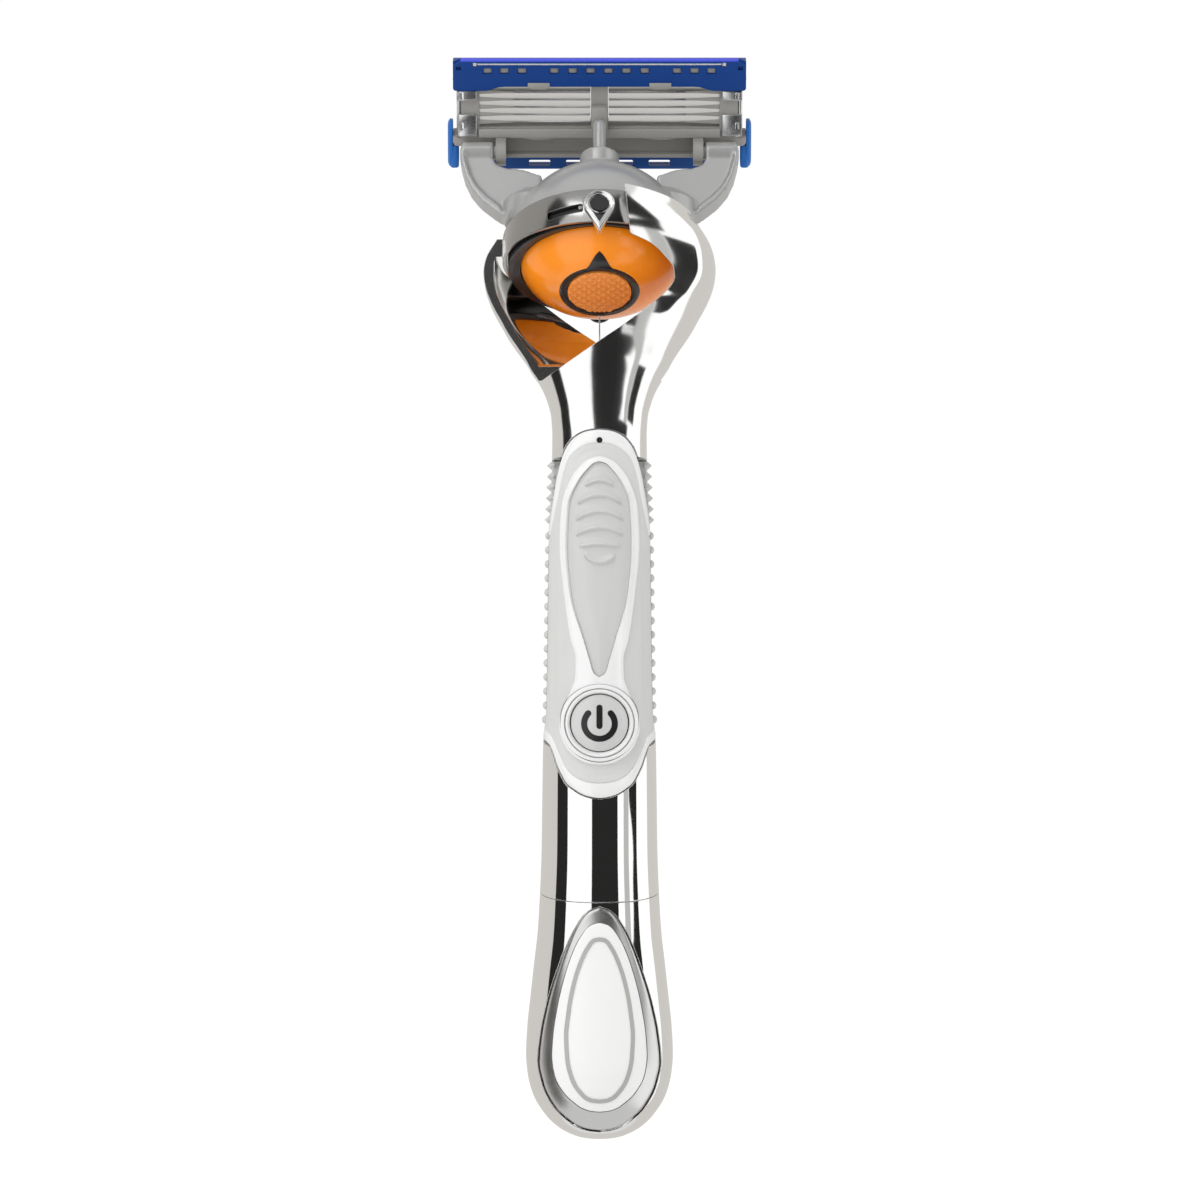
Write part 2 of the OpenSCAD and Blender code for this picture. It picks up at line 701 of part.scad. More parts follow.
module plunger_pin() {
    color([0.68, 0.68, 0.68])
        head() translate([0, plunger_y, 0]) {
            rod(plunger_r, 11.4, 19.2);
            translate([0, 0, 19.2]) sphere(r = plunger_r);
            rod(1.7, 10.6, 11.45);
        }
}
module plunger_spring() {
    color([0.70, 0.70, 0.70])
        head() translate([0, plunger_y, 0]) for (i = [0 : 1])
            translate([0, 0, 9.4 + 0.55 * i]) rotate_extrude() translate([1.3, 0]) circle(r = 0.22, $fn = 12);
}
// ---------- cartridge ----------
cart_low = -3.3;
cart_top = 13.4;
back_y = 1.6;
face_y = 6.2;
win_low = 3.25;
win_top = 9.35;
win_w = 16.8;
module blade_housing() {
    half = cart_w / 2;
    color([0.58, 0.58, 0.57])
        cart() difference() {
            union() {
                bar([-half, back_y, 0.4], [half, face_y - 0.4, cart_top - 1.5]);
                bar([-15.2, back_y, -1.3], [15.2, face_y - 0.4, 0.5]);
                // pivot lugs
                pair() translate([13.1, 0, 0]) rotate([0, 90, 0]) cylinder(r = 1.8, h = 1.4);
                pair() bar([13.1, 0, -1.8], [14.5, back_y + 0.1, 1.8]);
                // cam rib that the plunger follows
                bar([-1.1, 0.0, 3.2], [1.1, back_y + 0.1, 6.6]);
                // beads below the blade window
                pair() translate([8.5, back_y, 2.2]) scale([3.2, 0.7, 1]) cylinder(r = 1, h = 1.2, center = true);
            }
            // blade window, split by a centre bar
            pair() bar([1.2, back_y - 1, win_low], [win_w, face_y + 1, win_top]);
            // shallow recess behind the guard
            bar([-13.05, back_y - 1, -0.75], [13.05, back_y + 1.4, 1.7]);
            // trimmer slot
            bar([-17.1, 2.4, 11.0], [17.1, face_y + 1, 11.45]);
            // guard seat on the shaving side
            bar([-19, 4.2, cart_low - 1], [19, face_y + 1, 0.7]);
            pair() translate([13, 0, 0]) rotate([0, 90, 0]) cylinder(r = cart_pin_r + run_gap, h = 1.8);
            // clip slots
            pair() bar([half - 1.15, back_y - 1, 1.7], [half + 1, face_y + 1, 10.1]);
        }
}
module blade(i) {
    z = win_low + 0.75 + blade_pitch * i;
    color([0.86, 0.87, 0.88])
        cart() pair() translate([0, 4.75, z + 0.155]) rotate([22, 0, 0])
            bar([1.3, -0.15, 0.0], [win_w - 0.1, 1.2, 0.1]);
}
module blade_support(i) {
    z = win_low + 0.75 + blade_pitch * i;
    color([0.70, 0.71, 0.72])
        cart() pair() {
            bar([1.25, 1.9, z - 0.09], [win_w - 0.05, 4.62, z + 0.09]);
            translate([0, 4.6, z - 0.06]) rotate([22, 0, 0])
                bar([1.25, 0, -0.02], [win_w - 0.05, 0.75, 0.14]);
        }
}
module blade_1() { blade(0); }
module blade_2() { blade(1); }
module blade_3() { blade(2); }
module blade_4() { blade(3); }
module blade_5() { blade(4); }
module blade_supports() {
    for (i = [0 : 4])
        blade_support(i);
}
module trimmer_blade() {
    color([0.86, 0.87, 0.88])
        cart() bar([-17, 2.5, 11.1], [17, 6.9, 11.25]);
}
module back_cover() {
    half = cart_w / 2;
    color([0.02, 0.20, 0.50])
        cart() difference() {
            union() {
                bar([-half + 0.05, 0.75, 9.4], [half - 0.05, back_y - eps, cart_top - 0.2]);
                // top flange slopes down to the shaving side
                translate([-half + 0.05, 0, 0]) rotate([90, 0, 90]) linear_extrude(height = 2 * half - 0.1)
                    polygon([[0.75, cart_top - 1.2], [back_y - 0.05, cart_top - 1.45],
                             [face_y - 0.45, cart_top - 1.45], [face_y - 0.45, cart_top - 1.3],
                             [1.6, cart_top], [0.9, cart_top]]);
                pair() bar([15.1, 0.75, 8.8], [half - 0.05, back_y - eps, 9.6]);
            }
            // comb of notches
            for (x = [-15.6, -13.25, -10.8, -6.3, -3.75, -1.25, 1.25, 3.75, 6.3, 10.8, 13.25, 15.6])
                bar([x - 0.62, 0, 11.35], [x + 0.62, 1.2, 12.15]);
            bar([-17.1, 0, 12.55], [17.1, 1.1, 12.85]);
            pair() bar([half - 1.2, 0, 11.9], [half - 0.4, 1.2, 12.5]);
        }
}
module lubricating_strip() {
    color([0.75, 0.90, 0.85])
        cart() bar([-17.5, face_y - 0.4, 9.6], [17.5, face_y + 0.6, 10.85]);
}
module guard_fins() {
    color([0.05, 0.30, 0.62])
        cart() difference() {
            union() {
                bar([-18.9, 4.25, -3.9], [18.9, 5.4, 0.6]);
                for (i = [0 : 5])
                    bar([-18.4, 5.35, -3.6 + 0.7 * i], [18.4, 6.1, -3.35 + 0.7 * i]);
            }
            for (x = [-8.4, -3.2, 3.2, 8.4])
                bar([x - 1.5, 3, -3.4], [x + 1.5, 7, -2.5]);
        }
}
module guard_wing(side) {
    color([0.06, 0.34, 0.70])
        cart() scale([side, 1, 1])
            {
                bar([cart_w / 2 + eps, 2.2, -3.2], [cart_w / 2 + 0.75, 5.8, 3.6]);
                // toe under the housing's end
                bar([cart_w / 2 - 0.8, 2.2, -3.2], [cart_w / 2 + 0.1, 5.8, 0.35]);
            }
}
module guard_wings() {
    guard_wing(1);
    guard_wing(-1);
}
module clip(side) {
    half = cart_w / 2;
    color([0.80, 0.80, 0.82])
        cart() scale([side, 1, 1]) {
            bar([half - 1.1, back_y + 0.1, 2.3], [half - 0.55, face_y + 0.2, 9.8]);
            bar([half - 2.9, face_y - 0.38, 2.3], [half - 0.55, face_y + 0.2, 9.2]);
            bar([half - 3.4, 1.0, 7.3], [half - 0.55, back_y - eps, 8.75]);
            bar([half - 3.4, 1.0, 2.0], [half - 0.55, back_y - eps, 5.25]);
            bar([half - 1.1, 1.0, 7.3], [half - 0.55, back_y + 0.2, 8.75]);
            bar([half - 1.1, 1.0, 2.3], [half - 0.55, back_y + 0.2, 5.25]);
        }
}
module clip_right() {
    clip(1);
}
module clip_left() {
    clip(-1);
}
// ---------- battery end ----------
module cap_o_ring() {
    color([0.08, 0.08, 0.08])
        lower() translate([0, 0, seam - 3])
            rotate_extrude() translate([chassis_r - 0.03, 0]) circle(r = oring_r, $fn = 24);
}
module cap_shell() {
    color([0.80, 0.80, 0.79])
        difference() {
            loft([for (s = [-84.3, -83.9, -83.4, -82.6, -81.7, -80.1, -78.4, -76.8, -75.1, -72.6,
                            -68.5, -65.2, -60.2, -55.3, -49.83]) section(s, 0, 36)]);
            lower() rod(cap_bore_r, seam - 9.2, 0);
            lower() rod(cell_d / 2 + 0.35, cell_low - 3.6, 0);
            front_patch(-83.2, -51.7, badge_out, -0.7, 3, nr = 24, nc = 10, grow = 0.1);
        }
}
// half-width of the badge's dark border, by height
badge_out = [
    [-83.1, 0.3], [-82.7, 1.8], [-81.6, 3.9], [-79.6, 6.0], [-76.8, 7.7], [-73.0, 8.6],
    [-69, 8.2], [-65, 7.4], [-60.5, 5.9], [-57, 4.6], [-54.3, 3.2], [-52.4, 1.5], [-51.75, 0.3]
];
badge_in = [
    [-80.2, 0.3], [-79.9, 1.7], [-79, 3.2], [-77.5, 4.8], [-75.2, 6.1], [-72.2, 6.6],
    [-69, 6.4], [-65, 5.75], [-61, 4.75], [-58, 3.7], [-55.6, 2.4], [-54.4, 1.2], [-54, 0.3]
];
module badge_border() {
    color([0.72, 0.72, 0.71])
        difference() {
            front_patch(-83.1, -51.8, badge_out, -0.68, -0.05, nr = 24, nc = 10);
            front_patch(-80.3, -53.9, badge_in, -3, 3, nr = 24, nc = 10, grow = 0.1);
        }
}
module badge_plate() {
    color([0.97, 0.97, 0.96])
        front_patch(-80.2, -54, badge_in, -0.68, 0.1, nr = 24, nc = 10);
}
ring_out = [
    [-79, 0.3], [-78.7, 1.4], [-77.7, 2.7], [-75.6, 4.0], [-72.5, 4.75], [-69.6, 4.9],
    [-66, 4.55], [-62, 3.75], [-59, 2.75], [-57, 1.7], [-56.1, 0.8], [-55.95, 0.3]
];
module badge_ring() {
    color([0.66, 0.66, 0.65])
        difference() {
            front_patch(-79, -55.95, ring_out, 0.05, 0.24, nr = 24, nc = 8);
            front_patch(-78.4, -56.6, ring_out, -2, 2, nr = 20, nc = 6, grow = -0.5);
        }
}
module cap_spring() {
    color([0.72, 0.72, 0.73])
        lower() for (i = [0 : 4])
            translate([0, 0, cell_low - 3.2 + 0.68 * i])
                rotate_extrude() translate([4.2 - 0.45 * i, 0]) circle(r = 0.28, $fn = 12);
}
module battery_can() {
    color([0.74, 0.55, 0.28])
        lower() {
            rod(cell_d / 2, cell_low + 0.2, cell_top - 0.9);
            rod(4.3, cell_low, cell_low + 0.3);
        }
}
module battery_terminal() {
    color([0.80, 0.80, 0.80])
        lower() {
            rod(3.4, cell_top - 0.9 + eps, cell_top - 0.7);
            rod(1.9, cell_top - 0.8, cell_top);
        }
}

handle_shell();
neck();
cradle_front_arm();
cradle_rear_arm();
cradle_band();
pivot_bezel();
roll_pins();
return_rod();
panel_rim();
front_grip();
grip_ridge();
thumb_pad();
side_grips();
rear_grip();
button_bezel();
indicator_lens();
battery_chassis();
contact_strips();
circuit_board();
tact_switch();
motor_can();
motor_cradle();
motor_shaft();
eccentric_weight();
button_cap();
power_icon();
pod_body();
pod_rim();
ball_shell();
eject_surround();
eject_pad();
ejector_pusher();
ejector_spring();
yoke_hub();
yoke_arm_right();
yoke_arm_left();
plunger_pin();
plunger_spring();
blade_housing();
blade_1();
blade_2();
blade_3();
blade_4();
blade_5();
blade_supports();
trimmer_blade();
back_cover();
lubricating_strip();
guard_fins();
guard_wings();
clip_right();
clip_left();
cap_o_ring();
cap_shell();
badge_border();
badge_plate();
badge_ring();
cap_spring();
battery_can();
battery_terminal();
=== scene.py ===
"""Battery cartridge razor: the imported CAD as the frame, with finer skins and materials."""
import json
import math

import bmesh
import bpy
import numpy as np
from mathutils import Matrix, Vector


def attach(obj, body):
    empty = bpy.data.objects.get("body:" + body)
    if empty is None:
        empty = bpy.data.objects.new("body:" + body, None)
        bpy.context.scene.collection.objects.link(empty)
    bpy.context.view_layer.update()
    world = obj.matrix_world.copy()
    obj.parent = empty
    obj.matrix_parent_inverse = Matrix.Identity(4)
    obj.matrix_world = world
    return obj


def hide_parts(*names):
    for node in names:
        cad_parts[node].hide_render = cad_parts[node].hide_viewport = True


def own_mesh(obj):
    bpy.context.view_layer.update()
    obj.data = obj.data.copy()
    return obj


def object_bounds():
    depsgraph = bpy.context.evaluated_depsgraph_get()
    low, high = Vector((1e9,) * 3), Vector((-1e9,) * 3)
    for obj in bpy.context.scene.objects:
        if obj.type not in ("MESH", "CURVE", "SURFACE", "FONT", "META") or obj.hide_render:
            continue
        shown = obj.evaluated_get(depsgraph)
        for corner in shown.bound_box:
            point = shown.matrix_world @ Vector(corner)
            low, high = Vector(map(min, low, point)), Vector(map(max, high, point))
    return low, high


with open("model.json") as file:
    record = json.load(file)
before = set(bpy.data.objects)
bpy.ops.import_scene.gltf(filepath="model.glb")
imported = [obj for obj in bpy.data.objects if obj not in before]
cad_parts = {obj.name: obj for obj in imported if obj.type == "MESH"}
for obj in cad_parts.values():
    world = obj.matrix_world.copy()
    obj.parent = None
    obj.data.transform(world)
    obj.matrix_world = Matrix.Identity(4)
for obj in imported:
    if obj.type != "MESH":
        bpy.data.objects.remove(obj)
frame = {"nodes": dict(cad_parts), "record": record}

MM = 0.001
CAD_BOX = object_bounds()
JOINTS = {j["name"]: j for j in frame["record"]["behaviour"]["joints"]}
# sizes and places are in millimetres, and frame_matrix takes them to metres

# ---- frames
BALL = np.array(JOINTS["head_roll"]["pos_m"]) / MM
HEAD_UP = np.array(JOINTS["cartridge_release"]["axis"])
HEAD_OUT = np.array(JOINTS["head_roll"]["axis"])
PIVOT = np.array(JOINTS["cartridge_pivot"]["pos_m"]) / MM
CAP_OUT = np.array(JOINTS["cap_pull"]["axis"])
X = np.array([1.0, 0.0, 0.0])
CART_LEAN = math.radians(22)
CART_UP = np.array([0.0, -math.sin(CART_LEAN), math.cos(CART_LEAN)])
CART_OUT = np.array([0.0, math.cos(CART_LEAN), math.sin(CART_LEAN)])


def frame_matrix(origin, x, y, z):
    """4x4 that takes millimetres in a part's own axes to metres in the row frame."""
    m = Matrix.Identity(4)
    for row in range(3):
        m[row][0], m[row][1], m[row][2], m[row][3] = x[row], y[row], z[row], origin[row]
    return Matrix.Scale(MM, 4) @ m


ROW = frame_matrix(np.zeros(3), X, np.array([0, 1.0, 0]), np.array([0, 0, 1.0]))
HEAD = frame_matrix(BALL, X, -HEAD_OUT, HEAD_UP)
CART = frame_matrix(PIVOT, X, CART_OUT, CART_UP)

# ---- handle outline, as in the CAD: half-width, half-depth, front crease and crown by height
LOWER_BEND, NECK_BEND = math.radians(10), math.radians(20)
Z_LO, Z_HI, POWER = -33.0, 25.0, 2.3
HALF_W = [
    (-84.3, 0.0), (-84.15, 2.0), (-83.4, 4.4), (-81.7, 6.8), (-80.1, 8.1), (-78.4, 9.1),
    (-76.8, 9.65), (-75.1, 10.0), (-72.6, 10.2), (-68.5, 10.0), (-65.2, 9.65), (-60.2, 9.1),
    (-55.3, 8.55), (-50.3, 8.25), (-44, 8.0), (-37, 7.9), (-29, 7.75), (-25, 7.35),
    (-14, 7.15), (0, 6.95), (4, 6.75), (9, 6.55), (13, 6.5), (15.7, 6.67), (17.3, 7.05),
    (19, 7.65), (20.6, 8.46), (22, 9.4), (23.4, 10.15), (24.8, 11.05), (26.1, 11.95),
    (27.5, 12.85), (28.9, 13.6), (30.3, 14.4), (31.6, 15.05), (33, 15.6), (34.4, 15.95),
    (35.8, 16.1), (37.1, 15.95), (38.2, 15.6), (39.3, 15.0), (40.4, 14.3), (41.5, 13.8),
    (44, 13.4),
]
HALF_D = [
    (-84.3, 0.0), (-84.15, 1.8), (-83.4, 3.8), (-81.7, 6.0), (-80.1, 7.2), (-78.4, 8.1),
    (-76.8, 8.6), (-75.1, 8.9), (-72.6, 9.1), (-68.5, 9.0), (-60.2, 8.6), (-50.3, 8.3),
    (-33, 8.0), (-25, 7.6), (-10, 7.3), (0, 7.0), (4, 6.6), (10.7, 5.7), (14, 5.35),
    (17.3, 5.7), (20.6, 6.9), (24, 9.1), (27, 11.4), (30.5, 13.5), (34, 14.7), (38, 14.9),
    (40, 14.6), (42.6, 13.8), (44, 13.2),
]
CREASE = [
    (9, 0.5), (16, 0.50), (18, 0.49), (22, 0.53), (23.8, 0.56), (25.7, 0.655), (27.9, 0.77),
    (30.1, 0.87), (32.6, 0.9), (35.1, 0.87), (37.7, 0.83), (40.2, 0.76), (44, 0.7),
]
CROWN = [(9, 0.6), (16, 0.45), (20, 0.6), (24, 1.6), (28, 3.6), (32, 5.2), (36, 5.4), (40, 4.6), (44, 4.0)]


def smooth_curve(table):
    """A monotone cubic through the table's points, as a function of arrays."""
    xs, ys = np.array(table, float).T
    h = np.diff(xs)
    d = np.diff(ys) / h
    m = np.zeros(len(xs))
    m[0], m[-1] = d[0], d[-1]
    same = d[:-1] * d[1:] > 0
    w1, w2 = 2 * h[1:] + h[:-1], h[1:] + 2 * h[:-1]
    safe0 = np.where(same, d[:-1], 1)
    safe1 = np.where(same, d[1:], 1)
    m[1:-1] = np.where(same, (w1 + w2) / (w1 / safe0 + w2 / safe1), 0)

    def value(x):
        x = np.clip(np.asarray(x, float), xs[0], xs[-1])
        i = np.clip(np.searchsorted(xs, x) - 1, 0, len(h) - 1)
        t = (x - xs[i]) / h[i]
        a = ys[i] * (2 * t**3 - 3 * t**2 + 1) + h[i] * m[i] * (t**3 - 2 * t**2 + t)
        return a + ys[i + 1] * (3 * t**2 - 2 * t**3) + h[i] * m[i + 1] * (t**3 - t**2)

    return value


half_w, half_d = smooth_curve(HALF_W), smooth_curve(HALF_D)
crease, crown = smooth_curve(CREASE), smooth_curve(CROWN)


def slope(s):
    s = np.asarray(s, float)
    low, high = math.tan(LOWER_BEND), math.tan(NECK_BEND)
    return np.where(s < 0, -low * np.minimum(1, s / Z_LO), high * np.minimum(1, s / Z_HI))


def centre_y(s):
    s = np.asarray(s, float)
    low, high = math.tan(LOWER_BEND), math.tan(NECK_BEND)
    below = np.where(s < Z_LO, low * (Z_LO / 2 - s), -low * s * s / (2 * Z_LO))
    above = np.where(s < Z_HI, high * s * s / (2 * Z_HI), high * (s - Z_HI / 2))
    return np.where(s < 0, below, above)


def lean(s):
    return np.arctan(slope(s))


def spow(v, p):
    return np.sign(v) * np.abs(v) ** p


def place(s, x, v):
    t = lean(s)
    s, x, v, t = np.broadcast_arrays(s, x, v, t)
    return np.stack([x, centre_y(s) + v * np.cos(t), s - v * np.sin(t)], -1)


def section_xv(s, a, off=0.0):
    """Outline of the section at s, at angle a from the front, moved out along its normal."""
    w, d = half_w(s), half_d(s)
    sn, cs = np.sin(a), np.cos(a)
    x, v = w * spow(sn, 2 / POWER), -d * spow(cs, 2 / POWER)
    nx, nv = spow(sn, 2 - 2 / POWER) / w, -spow(cs, 2 - 2 / POWER) / d
    length = np.hypot(nx, nv) + 1e-12
    return x + off * nx / length, v + off * nv / length


def outline(s, a, off=0.0):
    x, v = section_xv(s, a, off)
    return place(s, x, v)


def section_at(z, a):
    return z - half_d(z) * spow(np.cos(a), 2 / POWER) * np.sin(lean(z))


def angle_at(z, x, reach=math.radians(89)):
    t = np.minimum(1, np.abs(x) / half_w(z)) ** (POWER / 2)
    return np.sign(x) * np.minimum(reach, np.arcsin(t))


# ---- meshes
def full_turn(n):
    return np.linspace(0, 2 * math.pi, n, endpoint=False)


def mirrored(points, side):
    return [(side * x, z) for x, z in points]


def both_sides(right):
    """An outline from its right half, top to bottom."""
    return right + mirrored(right[::-1], -1)


def pair(build):
    return [build(side) for side in (1, -1)]


def tilted(base, at, degrees, axis="X"):
    return base @ Matrix.Translation(at) @ Matrix.Rotation(math.radians(degrees), 4, axis)


def add_object(name, data):
    obj = bpy.data.objects.new(name, data)
    bpy.context.collection.objects.link(obj)
    return obj


def make_mesh(name, points, faces, matrix=ROW):
    mesh = bpy.data.meshes.new(name)
    mesh.from_pydata([tuple(matrix @ Vector(p)) for p in points], [], faces)
    mesh.validate()
    bm = bmesh.new()
    bm.from_mesh(mesh)
    bmesh.ops.remove_doubles(bm, verts=bm.verts, dist=1e-7)
    bmesh.ops.recalc_face_normals(bm, faces=bm.faces)
    bm.to_mesh(mesh)
    bm.free()
    return add_object(name, mesh)


def paint(obj, look):
    obj.data.materials.clear()
    obj.data.materials.append(LOOKS[look])


def finish_piece(obj, body, slot, nodes=(), angle=35, look=None):
    """Shades, paints and hangs a piece on its body. Its look is its slot's, unless another is named."""
    paint(obj, look or slot)
    for p in obj.data.polygons:
        p.use_smooth = True
    sharp_by_angle(obj.data, math.radians(angle))
    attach(obj, body)
    if nodes:
        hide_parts(*nodes)
    return obj


def sharp_by_angle(mesh, limit):
    bm = bmesh.new()
    bm.from_mesh(mesh)
    for e in bm.edges:
        if len(e.link_faces) == 2:
            e.smooth = e.calc_face_angle(0) < limit
    bm.to_mesh(mesh)
    bm.free()


def grid_faces(rows, cols, base=0, wrap=False, flip=False):
    out = []
    for i in range(rows - 1):
        for j in range(cols if wrap else cols - 1):
            k = (j + 1) % cols
            row, nxt = base + i * cols, base + (i + 1) * cols
            q = [row + j, row + k, nxt + k, nxt + j]
            out.append(q[::-1] if flip else q)
    return out


def loft(name, rings, caps=(True, True), matrix=ROW):
    """Closed skin through rings, an array of rows x columns x 3."""
    rows, cols = rings.shape[:2]
    faces = grid_faces(rows, cols, wrap=True)
    if caps[0]:
        faces.append(list(range(cols))[::-1])
    if caps[1]:
        faces.append([(rows - 1) * cols + j for j in range(cols)])
    return make_mesh(name, rings.reshape(-1, 3), faces, matrix)


def slab(name, outer, inner, matrix=ROW):
    """Closed piece between two grids of points of one shape."""
    rows, cols = outer.shape[:2]
    q = rows * cols
    faces = grid_faces(rows, cols) + grid_faces(rows, cols, base=q, flip=True)
    border = list(range(cols))
    border += [i * cols + cols - 1 for i in range(1, rows)]
    border += [(rows - 1) * cols + j for j in range(cols - 2, -1, -1)]
    border += [i * cols for i in range(rows - 2, 0, -1)]
    n = len(border)
    for k in range(n):
        a, b = border[k], border[(k + 1) % n]
        faces.append([b, a, q + a, q + b])
    points = np.concatenate([outer.reshape(-1, 3), inner.reshape(-1, 3)])
    return make_mesh(name, points, faces, matrix)


def even_rows(low, high, n):
    """Heights from low to high, close together at both ends."""
    t = np.linspace(0, math.pi, n)
    return (low + high) / 2 - (high - low) / 2 * np.cos(t)


def rounded(gap, height, radius):
    """Profile of a raised edge: 0 at the rim, height once radius in."""
    t = np.clip(1 - gap / radius, 0, 1)
    return height * np.sqrt(1 - t * t)


def lathe(name, profile, steps=96, matrix=ROW, closed=False):
    """Turned shape about the local Z. profile is (radius, height) pairs."""
    a = full_turn(steps)
    p = np.array(profile, float)
    rings = np.stack([p[:, :1] * np.cos(a), p[:, :1] * np.sin(a), np.repeat(p[:, 1:], steps, 1)], -1)
    if closed:
        rings = np.concatenate([rings, rings[:1]])
        return loft(name, rings, (False, False), matrix)
    return loft(name, rings, (p[0, 0] > 0, p[-1, 0] > 0), matrix)


def along_front(z, off=0.0):
    """Frame on the front face at height z, local Z out of the face."""
    s = section_at(np.array(z, float), np.array(0.0))
    origin = outline(s, np.array(0.0), off)
    t = float(lean(s))
    out = np.array([0, -math.cos(t), math.sin(t)])
    up = np.array([0, math.sin(t), math.cos(t)])
    return frame_matrix(origin, X, up, out)


def modifier(obj, kind, **settings):
    m = obj.modifiers.new(kind.lower(), kind)
    for key, value in settings.items():
        setattr(m, key, value)
    return m


def bake(obj):
    """Turns the object's modifiers into its own mesh."""
    bpy.context.view_layer.update()
    evaluated = obj.evaluated_get(bpy.context.evaluated_depsgraph_get())
    mesh = bpy.data.meshes.new_from_object(evaluated)
    old = obj.data
    obj.modifiers.clear()
    obj.data = mesh
    bpy.data.meshes.remove(old)
    return obj


def carve(obj, *cutters):
    for c in cutters:
        modifier(obj, "BOOLEAN", operation="DIFFERENCE", solver="EXACT", object=c)
    bake(obj)
    for c in cutters:
        bpy.data.objects.remove(c, do_unlink=True)
    return obj


def join(name, *objs):
    bm = bmesh.new()
    for o in objs:
        bm.from_mesh(o.data)
    mesh = bpy.data.meshes.new(name)
    bm.to_mesh(mesh)
    bm.free()
    for o in objs:
        bpy.data.objects.remove(o, do_unlink=True)
    return add_object(name, mesh)


def wall_faces(n):
    """Faces of a closed piece between two outlines of n points."""
    ends = [list(range(n)), list(range(2 * n - 1, n - 1, -1))]
    return ends + [[k, n + k, n + (k + 1) % n, (k + 1) % n] for k in range(n)]


def prism(name, outline_xz, y0, y1, matrix=ROW, bevel=0.0, segments=2):
    """An outline in the local XZ plane, carried along the local Y."""
    points = [(x, y, z) for y in (y0, y1) for x, z in outline_xz]
    obj = make_mesh(name, points, wall_faces(len(outline_xz)), matrix)
    if bevel:
        modifier(obj, "BEVEL", width=bevel * MM, segments=segments, limit_method="ANGLE", angle_limit=0.6)
        bake(obj)
    return obj


def box_piece(name, low, high, matrix=ROW, bevel=0.0, segments=2):
    (x0, y0, z0), (x1, y1, z1) = low, high
    return prism(name, [(x0, z0), (x1, z0), (x1, z1), (x0, z1)], y0, y1, matrix, bevel, segments)


def drill(r, low, high, matrix, steps=64):
    """Round cutter along the local Z."""
    return lathe("drill", [(r, low), (r, high)], steps, matrix)


# ---- materials
LOOKS = {}


def srgb(*levels):
    shares = [c / 255 for c in levels]
    return [c / 12.92 if c <= 0.04 else ((c + 0.055) / 1.055) ** 2.4 for c in shares]


def set_inputs(node, **values):
    """Sets a node's inputs by name, with _ for a space."""
    for key, value in values.items():
        node.inputs[key.replace("_", " ")].default_value = value
    return node


def plain_material(name, **sockets):
    mat = bpy.data.materials.new(name)
    mat.use_nodes = True
    set_inputs(mat.node_tree.nodes["Principled BSDF"], **sockets)
    return mat


def material(name, color, rough=0.4, metal=0.0, coat=0.0, vary=0.02, rough_vary=0.04,
             grain=350.0, bump=0.0, fine=None, bevel=0.0, **sockets):
    """Procedural finish: slow mottling in colour and roughness, fine grain in bump."""
    mat = plain_material(name, Metallic=metal, Coat_Weight=coat, **sockets)
    nodes, links = mat.node_tree.nodes, mat.node_tree.links
    shader = nodes["Principled BSDF"]
    coords = nodes.new("ShaderNodeTexCoord")
    cloud = set_inputs(nodes.new("ShaderNodeTexNoise"), Scale=grain, Detail=5)
    links.new(coords.outputs["Object"], cloud.inputs["Vector"])
    tint = nodes.new("ShaderNodeMix")
    tint.data_type = "RGBA"
    tones = [tuple(min(1, c * (1 + share)) for c in color) + (1,) for share in (-vary, vary)]
    set_inputs(tint, A=tones[0], B=tones[1])
    links.new(cloud.outputs["Fac"], tint.inputs["Factor"])
    links.new(tint.outputs["Result"], shader.inputs["Base Color"])
    spread = nodes.new("ShaderNodeMapRange")
    set_inputs(spread, To_Min=max(0.0, rough - rough_vary), To_Max=rough + rough_vary)
    links.new(cloud.outputs["Fac"], spread.inputs["Value"])
    links.new(spread.outputs["Result"], shader.inputs["Roughness"])
    normal = None
    if bevel:
        edge = set_inputs(nodes.new("ShaderNodeBevel"), Radius=bevel * MM)
        edge.samples = 6
        normal = edge.outputs["Normal"]
    if bump:
        speck = set_inputs(nodes.new("ShaderNodeTexNoise"), Scale=fine or grain * 8, Detail=3)
        links.new(coords.outputs["Object"], speck.inputs["Vector"])
        grains = set_inputs(nodes.new("ShaderNodeBump"), Strength=bump, Distance=0.00005)
        links.new(speck.outputs["Fac"], grains.inputs["Height"])
        if normal:
            links.new(normal, grains.inputs["Normal"])
        normal = grains.outputs["Normal"]
    if normal:
        links.new(normal, shader.inputs["Normal"])
    LOOKS[name] = mat


material("chrome", (0.93, 0.93, 0.92), 0.035, 1.0, vary=0.01, rough_vary=0.015, grain=120, bevel=0.12)
material("band_chrome", (0.38, 0.376, 0.37), 0.17, 1.0, vary=0.02, rough_vary=0.03, bevel=0.1)
material("cradle_chrome", (0.93, 0.93, 0.92), 0.11, 1.0, vary=0.01, rough_vary=0.02, grain=120, bevel=0.12)
material("white_gloss", (0.88, 0.88, 0.875), 0.16, 0, coat=0.5, vary=0.01, Coat_Roughness=0.05)
material("grey_rubber", srgb(214, 214, 212), 0.42, vary=0.02, bump=0.12, fine=6000)
material("pad_rubber", srgb(206, 206, 204), 0.34, vary=0.02, bump=0.08, fine=6000)
material("black_plastic", srgb(30, 30, 31), 0.3, vary=0.15, bump=0.05)
material("gloss_black", srgb(34, 34, 35), 0.25, coat=0.6, vary=0.1, Coat_Roughness=0.08)
material("badge_satin", (0.74, 0.74, 0.73), 0.3, 1.0, vary=0.02)
material("badge_white", srgb(247, 247, 246), 0.35, vary=0.008)
material("button_grey", srgb(208, 208, 207), 0.2, coat=0.4, vary=0.01)
